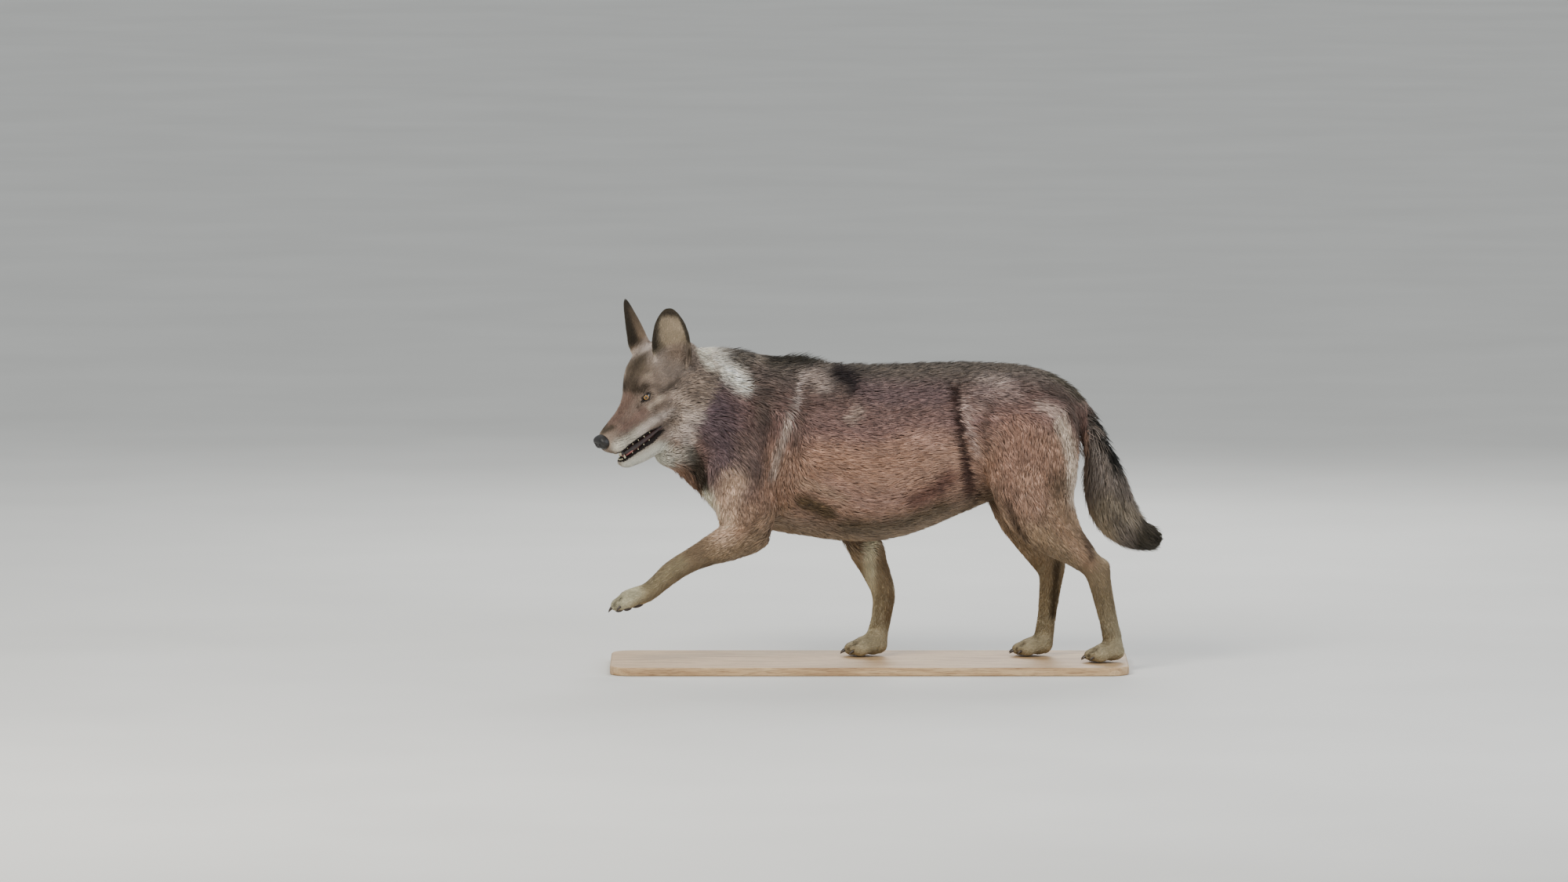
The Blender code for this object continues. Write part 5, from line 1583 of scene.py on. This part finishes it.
def bare(points, normals):
    """Places where no hair grows."""
    head = to_head(points)
    none = np.linalg.norm((head - (NOSE_BACK, 0, NOSE_UP)) / PAD_REACH, axis=1) < PAD_EDGE
    none |= in_mouth(head, *BARE_LIPS) & (facing_gap(head, normals) > LOOKS_IN)
    for centre, side in EYES.values():
        away, outside = outside_lids(points, centre, side)
        none |= (away < EYE_SOCKET) & (outside < BARE_LIDS)
    for paw in PAWS:
        ahead, aside, up = to_paw(points, paw).T
        sole = (up < SOLE_UP) & (normals @ paw_axes(paw)[2] < -0.3 * PAWS[paw][2])
        none |= sole & (np.abs(ahead - SOLE_MIDDLE) < SOLE_REACH) & (np.abs(aside) < PAW_HALF)
    return none


face_spacing = skin_values[corner_ids, SPACING].mean(1)
faces, roots, shares = scatter(TRIES / face_spacing**2)
spacing = carried(skin_values, faces, shares)[:, SPACING]
level = np.round(np.log2(spacing / MM) * CELL_SIZES)
cell = 2 ** (level / CELL_SIZES) * MM
keys = np.column_stack((level, np.floor(roots / cell[:, None]))).astype(np.int64)
_, first = np.unique(keys, axis=0, return_index=True)
first = np.sort(first)
faces, roots, shares = faces[first], roots[first], shares[first]
normals = carried(skin_normals, faces, shares)
normals /= np.linalg.norm(normals, axis=1, keepdims=True)
hairy = ~bare(roots, normals)
faces, roots, shares, normals = faces[hairy], roots[hairy], shares[hairy], normals[hairy]
ways = carried(skin_ways, faces, shares)
ways -= normals * np.sum(ways * normals, axis=1, keepdims=True)
ways /= np.linalg.norm(ways, axis=1, keepdims=True)
values = carried(skin_values, faces, shares)
print(len(roots), "tufts")

# %% [markdown]
# ## The shape of a tuft
# One tuft stands for a lock of hairs that cling together: a thin curved spike with three
# sides. Its root is sunk in the skin. Its middle and its tip are laid over the skin a length
# further along the stream, at heights that fill the coat's depth, so the tips end where the
# outline of the solids is. On the face and the feet the hair is so short that a straight spike
# is enough. Longer hair gathers: each tip leans towards a neighbour's, which gives the coat
# its locks.

# %% Locks and tips
def over_skin(points, heights):
    """The points moved to a height above the nearest place on the skin."""
    placed = np.empty_like(points)
    for i, (point, height) in enumerate(zip(points, heights)):
        spot, normal, _, _ = skin_tree.find_nearest(Vector(point))
        placed[i] = spot + normal * height
    return placed


FLUFF_LENGTH, FLUFF_LIFT = 12 * MM, 4 * MM  # of the hair in the ears
SWAY = 0.13  # radians that a tuft strays from the stream
LOCK, LOCK_JITTER = 15 * MM, 1.2 * MM
LOOSE_DEPTH = 6.0 * MM  # in a deeper coat the tufts gather in locks
CREST, CREST_HALF, CREST_LIFT = -0.205, 0.045, 0.42  # the mane over the shoulders
DIP, DIP_HALF, DIP_SHARE = -0.300, 0.030, 0.9  # and the hollow behind the head
count = len(roots)
length = values[:, LENGTH] * chance.uniform(0.72, 1.22, count)
on_ear, _, inner_ear, ear_rim = ear_shares(roots, normals)
# long soft hair fills the ear from its front edge
in_front = smooth_step(-(to_head(roots) - EAR_ROOT) @ (0.61, 0, 0) / EAR_HALF, -0.2, 0.5)
fluff = on_ear * inner_ear * (1 - ear_rim) * in_front
length += FLUFF_LENGTH * fluff * chance.uniform(0.4, 1, count)
side_way = np.cross(normals, ways)
sway = chance.normal(0, SWAY, count) * (1 - 0.4 * on_ear)
ways = ways * np.cos(sway)[:, None] + side_way * np.sin(sway)[:, None]

# every lock has a leader, and the tips near it lean towards the leader's tip
wild = values[:, DEPTH] > LOOSE_DEPTH
lock_keys = np.floor((roots + chance.normal(0, LOCK_JITTER, roots.shape)) / LOCK).astype(np.int64)
_, leader, lock_of = np.unique(lock_keys, axis=0, return_index=True, return_inverse=True)
lock_of = lock_of.ravel()
reach_out = ways * length[:, None]
free_tip = roots + reach_out
lead_tip = free_tip[leader][lock_of]
pull = np.where(wild, chance.uniform(0.15, 0.5, count), 0)[:, None]
tips = free_tip + (lead_tip - free_tip) * pull
middles = roots + reach_out * 0.5
lift = chance.uniform(0.55, 1.10, count)
lock_lift = chance.uniform(0.82, 1.16, len(leader))[lock_of]
# the mane dips behind the head and stands up over the shoulders
ahead, height = (roots - BODY_ORIGIN)[:, [0, 2]].T
crest = np.exp(-(((ahead - CREST) / CREST_HALF) ** 2))
crest -= DIP_SHARE * np.exp(-(((ahead - DIP) / DIP_HALF) ** 2))
lock_lift += CREST_LIFT * crest * smooth_step(height, 0.60, 0.63)
tips = over_skin(tips, values[:, DEPTH] * lift * lock_lift + FLUFF_LIFT * fluff * lift)
middles = over_skin(middles, values[:, DEPTH] * np.minimum(0.62, lift * 0.72))
print(int(wild.sum()), "tufts in", len(leader), "locks")

# %% [markdown]
# ## Hair colours along a tuft
# A guard hair is banded: pale or grey at the root, warm in the middle, and on the back and
# shoulders black at the tip. Each tuft takes the marking at the place of its middle, with a
# small change of tone of its own, and a number that says how dark its tip is. The material
# reads how far along the tuft it is, so the bands are real bands; it also darkens the lower
# half of every tuft towards its root, as painted shade deep in the coat.

# %% Tones
TONE_PLACE, TONE_JITTER = 0.45, 2.2 * MM  # share of the way to the tip, and its blur
GREYING = 0.22  # the most that a tuft loses of its colour
GUARD_SHARE = 0.40  # tufts with black tips along the back
tone_at = roots + (tips - roots) * TONE_PLACE
tone_at += chance.normal(0, TONE_JITTER, tone_at.shape)
colours = coat_colours(tone_at, normals)
# slow changes of tone over the coat: strength, size of the patches, seed
TONE_RIPPLES = [(0.16, 60 * MM, 3), (0.10, 24 * MM, 5)]
WAVES = 6  # added up in each ripple


def ripple(points, size, seed):
    """A slow random wave over space, from -1 to 1."""
    draws = np.random.default_rng(seed)
    total = np.zeros(len(points))
    for _ in range(WAVES):
        way = draws.normal(0, 1, 3)
        total += np.sin(points @ way * (2 * math.pi / size) + draws.uniform(0, 6.28))
    return total / WAVES


tone = np.ones(count)
for strength, size, seed in TONE_RIPPLES:
    tone += strength * ripple(roots, size, seed)
tone += chance.normal(0, 0.13, count)
tone *= np.where(wild, chance.uniform(0.85, 1.15, len(leader))[lock_of], 1)
colours = np.clip(colours * np.clip(tone, 0.5, 1.6)[:, None], 0.004, 0.9)
grey = colours.mean(1, keepdims=True)
colours += (grey - colours) * chance.uniform(0, GREYING, (count, 1))

place = roots - BODY_ORIGIN
high = smooth_step(share_of_height(place)[0], 0.45, 0.95)
dark_share = 0.08 + GUARD_SHARE * high * (place[:, 0] > -0.42) * (place[:, 0] < 0.44)
dark_share *= values[:, DEPTH] > 2.5 * MM
dark_tip = (chance.random(count) < dark_share) * chance.uniform(0.4, 1.0, count)
dark_tip *= 1 - 0.6 * smooth_step(grey[:, 0], 0.25, 0.5)

# %% [markdown]
# ## Building the coat
# All spikes of one kind are made at once from arrays of points, which is far quicker than
# adding them one by one. The coat is split into pieces by region, each under 200,000
# triangles. Every tuft gets a patch three thousandths of the picture wide, at its root's place
# on the unwrap.

# %% Tufts as meshes
PATCH = 0.003
THICKNESS = 0.5  # of a tuft, as a share of its width
CORNERS = [(-0.5, -0.35), (0.5, -0.35), (0.0, 0.65)]  # of the three-sided section: across, up
ROOT_DEPTH = 0.4 * MM  # under the skin
RING_WIDTHS = (1.0, 0.85)  # at the root and in the middle
roots_flat = flat_places(roots)


def rows_to_unit(rows):
    return rows / (np.linalg.norm(rows, axis=1, keepdims=True) + 1e-12)


def tuft_arrays(chosen, levels):
    """Points, faces, corner patches and values along the tufts, for tufts of 2 or 3 levels."""
    start, middle, tip = roots[chosen] - normals[chosen] * ROOT_DEPTH, middles[chosen], tips[chosen]
    width = values[chosen, WIDTH] * chance.uniform(0.75, 1.25, len(chosen))
    spine = [start, tip] if levels == 2 else [start, middle, tip]
    across = rows_to_unit(np.cross(tip - start, normals[chosen]))
    rings = []
    for centre, following, share in zip(spine, spine[1:], RING_WIDTHS):
        up = rows_to_unit(np.cross(across, following - centre))
        size = (width * share)[:, None]
        for right, rise in CORNERS:
            rings.append(centre + across * right * size + up * rise * size * THICKNESS)
    points = np.stack(rings + [tip], axis=1)
    tip_id = 3 * (levels - 1)
    faces, flats = [(2, 1, 0)], [((0.9, 0.0), (0.5, 0.1), (0.1, 0.0))]
    for level in range(levels - 1):
        low, high = level / (levels - 1), (level + 1) / (levels - 1)
        for k in range(3):
            a, b = 3 * level + k, 3 * level + (k + 1) % 3
            left, right = k / 3, (k + 1) / 3
            if level == levels - 2:
                faces.append((a, b, tip_id))
                flats.append(((left, low), (right, low), ((left + right) / 2, 1)))
            else:
                faces += [(a, b, b + 3), (a, b + 3, a + 3)]
                flats.append(((left, low), (right, low), (right, high)))
                flats.append(((left, low), (right, high), (left, high)))
    along = [0.0] * 3 + ([0.5] * 3 if levels == 3 else []) + [1.0]
    return points, np.array(faces), np.array(flats), np.array(along)


def coat_piece(name, chosen, levels):
    points, faces, flats, along = tuft_arrays(chosen, levels)
    number, each = points.shape[:2]
    mesh = bpy.data.meshes.new(name)
    mesh.vertices.add(number * each)
    mesh.vertices.foreach_set("co", points.astype(np.float32).ravel())
    ids = (faces[None] + (np.arange(number) * each)[:, None, None]).ravel()
    mesh.loops.add(len(ids))
    mesh.loops.foreach_set("vertex_index", ids.astype(np.int32))
    mesh.polygons.add(len(ids) // 3)
    mesh.polygons.foreach_set("loop_start", np.arange(0, len(ids), 3, dtype=np.int32))
    mesh.polygons.foreach_set("use_smooth", np.ones(len(ids) // 3, bool))
    flat = roots_flat[chosen][:, None, None, :] + (flats[None] - 0.5) * PATCH
    mesh.uv_layers.new(name="OFBake").data.foreach_set("uv", flat.astype(np.float32).ravel())
    tint = np.column_stack((colours[chosen], np.ones(number)))
    set_attribute(mesh, "coat_colour", "FLOAT_COLOR", np.repeat(tint, each, axis=0))
    set_attribute(mesh, "along", "FLOAT", np.tile(along, number))
    set_attribute(mesh, "dark_tip", "FLOAT", np.repeat(dark_tip[chosen], each))
    mesh.update(calc_edges=True)
    return add_object(name, mesh)


# Hair: a soft satin, with darker roots where the light doesn't reach and banded tips.
hair, tree, shader = new_material("guard hair, banded", Roughness=0.62, Specular_IOR_Level=0.3)
along = stored(tree, "along")
TIP_START, TIP_FULL, ROOT_SHADE = 0.55, 0.85, 0.50
root_part = {"Value": along, "From Max": TIP_START, "To Min": ROOT_SHADE}
light = add(tree, "ShaderNodeMapRange", root_part).outputs["Result"]
lit = {0: stored(tree, "coat_colour", "Color"), "Scale": light}
body_tone = add(tree, "ShaderNodeVectorMath", lit, operation="SCALE").outputs["Vector"]
tip_part = {"Value": along, "From Min": TIP_START, "From Max": TIP_FULL}
tip = add(tree, "ShaderNodeMapRange", tip_part, interpolation_type="SMOOTHSTEP").outputs["Result"]
tip_mask = {0: tip, 1: stored(tree, "dark_tip")}
tip_mask = add(tree, "ShaderNodeMath", tip_mask, operation="MULTIPLY").outputs["Value"]
banded = add(tree, "ShaderNodeMix", {"Factor": tip_mask}, data_type="RGBA")
tree.links.new(body_tone, banded.inputs["A"])
banded.inputs["B"].default_value = paint("#1f1a16")
tree.links.new(banded.outputs["Result"], shader.inputs["Base Color"])

SHORT = values[:, DEPTH] < 3.4 * MM
along_body, up = place[:, 0], place[:, 2]
hind_leg = (up < 0.25) & (along_body < 0.52) & (np.abs(place[:, 1]) > 0.045)
# pieces of the coat from front to back: each takes what the ones before it left
REGIONS = {
    "head": (to_head(roots)[:, 0] < 0.205) & (up > 0.42),
    "neck": along_body < -0.262,
    "shoulders": along_body < -0.100,
    "ribs": along_body < 0.030,
    "flanks": along_body < 0.170,
    "rump": (along_body < 0.30) & (up > 0.25),
    "thighs": (along_body < 0.432) | hind_leg,
    "tail": np.ones(count, bool),
}
MOST_TRIANGLES = 195000
left_over = np.ones(count, bool)
total = 0
for region, inside in REGIONS.items():
    here = left_over & inside
    left_over &= ~inside
    slot = "dark_coat" if region == "tail" else "coat"
    for kind, levels, each in (("short", 2, 4), ("long", 3, 10)):
        chosen = np.flatnonzero(here & (SHORT if kind == "short" else ~SHORT))
        parts = math.ceil(len(chosen) * each / MOST_TRIANGLES)
        for number, part in enumerate(np.array_split(chosen, parts) if parts else []):
            name = f"coat_{region}_{kind}" + (f"_{number + 1}" if parts > 1 else "")
            finish_piece(coat_piece(name, part, levels), hair, slot)
            total += len(part) * each
print("coat:", total, "triangles")

# %% [markdown]
# ## The display board
# The model stands on a plain board of oiled oak, as a travelling mount would. Oak shows long
# pale and darker streaks along the board and short dark pores, and an oiled face gives a low
# satin shine. The board keeps its solid's shape and only gets its finish.

# %% Oak board
# Oak, planed and oiled: streaks a centimetre wide along x, and pores a millimetre wide.
oak, tree, shader = new_material("oak, planed and oiled", Roughness=0.5)
places = object_coordinates(tree)
STREAK_SCALE, PORE_SCALE = (1.4, 16.0, 16.0), (18.0, 420.0, 420.0)  # longest along the board
stretched = add(tree, "ShaderNodeMapping", {"Vector": places, "Scale": STREAK_SCALE}).outputs["Vector"]
streaks = {"Vector": stretched, "Scale": 4.5, "Detail": 5.0, "Distortion": 0.6}
streaks = add(tree, "ShaderNodeTexNoise", streaks).outputs["Fac"]
fine = add(tree, "ShaderNodeMapping", {"Vector": places, "Scale": PORE_SCALE}).outputs["Vector"]
pores = noise(tree, fine, 2.2)
wood = ramp(tree, streaks, [(0.30, "#9c7c58"), (0.48, "#b5966f"), (0.62, "#c2a67f"), (0.75, "#a98a63")])
pore_shade = ramp(tree, pores, [(0.36, "#7d6a55"), (0.46, "#ffffff")])
grain = add(tree, "ShaderNodeMix", {"Factor": 0.55}, data_type="RGBA", blend_type="MULTIPLY")
tree.links.new(wood, grain.inputs["A"])
tree.links.new(pore_shade, grain.inputs["B"])
tree.links.new(grain.outputs["Result"], shader.inputs["Base Color"])
bump(tree, shader, pores, 0.15 * MM, 0.35)
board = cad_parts["stand_base"]
board.data.materials.clear()
board.data.materials.append(oak)

# %% [markdown]
# ## Floor, light and camera
# A pale floor and large soft lights show the coat without hiding its colours. The main light
# is high on the camera's side, a weaker one fills from beyond the tail, and one behind lifts
# the line of the back. The camera stands far off with a long lens and looks down by only five
# degrees, which keeps the legs and the head in the true proportion to each other.

# %% Floor
FLOOR_HALF = 90  # metres
bm = bmesh.new()
bmesh.ops.create_grid(bm, x_segments=1, y_segments=1, size=FLOOR_HALF)
floor_mesh = bpy.data.meshes.new("floor")
bm.to_mesh(floor_mesh)
bm.free()
floor = add_object("floor", floor_mesh)
# Matt painted screed: pale, even, with a faint mottle.
screed, tree, shader = new_material("matt painted screed", Roughness=0.9)
mottle = noise(tree, object_coordinates(tree), 1.5)
colour_by(tree, shader, mottle, [(0.3, "#cfcfcb"), (0.7, "#d6d6d2")])
floor_mesh.materials.append(screed)

# %% Lights
scene = bpy.context.scene


def soft_light(name, place, aim, size, power, hex_colour):
    light = bpy.data.lights.new(name, "AREA")
    light.shape = "DISK"
    light.size = size
    light.energy = power
    light.color = linear(hex_colour)
    holder = bpy.data.objects.new(name, light)
    scene.collection.objects.link(holder)
    holder.location = place
    holder.rotation_euler = (Vector(aim) - Vector(place)).to_track_quat("-Z", "Y").to_euler()


middle = (0.0, 0.0, 0.4)
soft_light("key", (-2.2, -3.4, 3.6), middle, 2.4, 235, "#fffaf2")
soft_light("fill", (3.4, -2.2, 1.8), middle, 2.8, 85, "#f2f6ff")
soft_light("rim", (0.6, 3.4, 3.0), middle, 2.4, 120, "#ffffff")
world = bpy.data.worlds.new("soft room")
world.use_nodes = True
background = world.node_tree.nodes["Background"]
background.inputs["Color"].default_value = paint("#e9ecee")
background.inputs["Strength"].default_value = 0.78
scene.world = world

# %% Camera
CAMERA_HEIGHT_ANGLE = math.radians(5)
CAMERA_DISTANCE = 25.0
AIM_AHEAD, AIM_HEIGHT = 0.211, 0.484  # of the body's origin, and above the floor
aim = Vector((BODY_ORIGIN[0] - AIM_AHEAD, 0, AIM_HEIGHT))
camera = bpy.data.objects.new("camera", bpy.data.cameras.new("camera"))
scene.collection.objects.link(camera)
camera.data.lens = 270
camera.data.sensor_width = 36
camera.data.clip_end = 300
back_to_camera = Vector((0, -math.cos(CAMERA_HEIGHT_ANGLE), math.sin(CAMERA_HEIGHT_ANGLE)))
camera.location = aim + back_to_camera * CAMERA_DISTANCE
camera.rotation_euler = (-back_to_camera).to_track_quat("-Z", "Y").to_euler()
scene.camera = camera
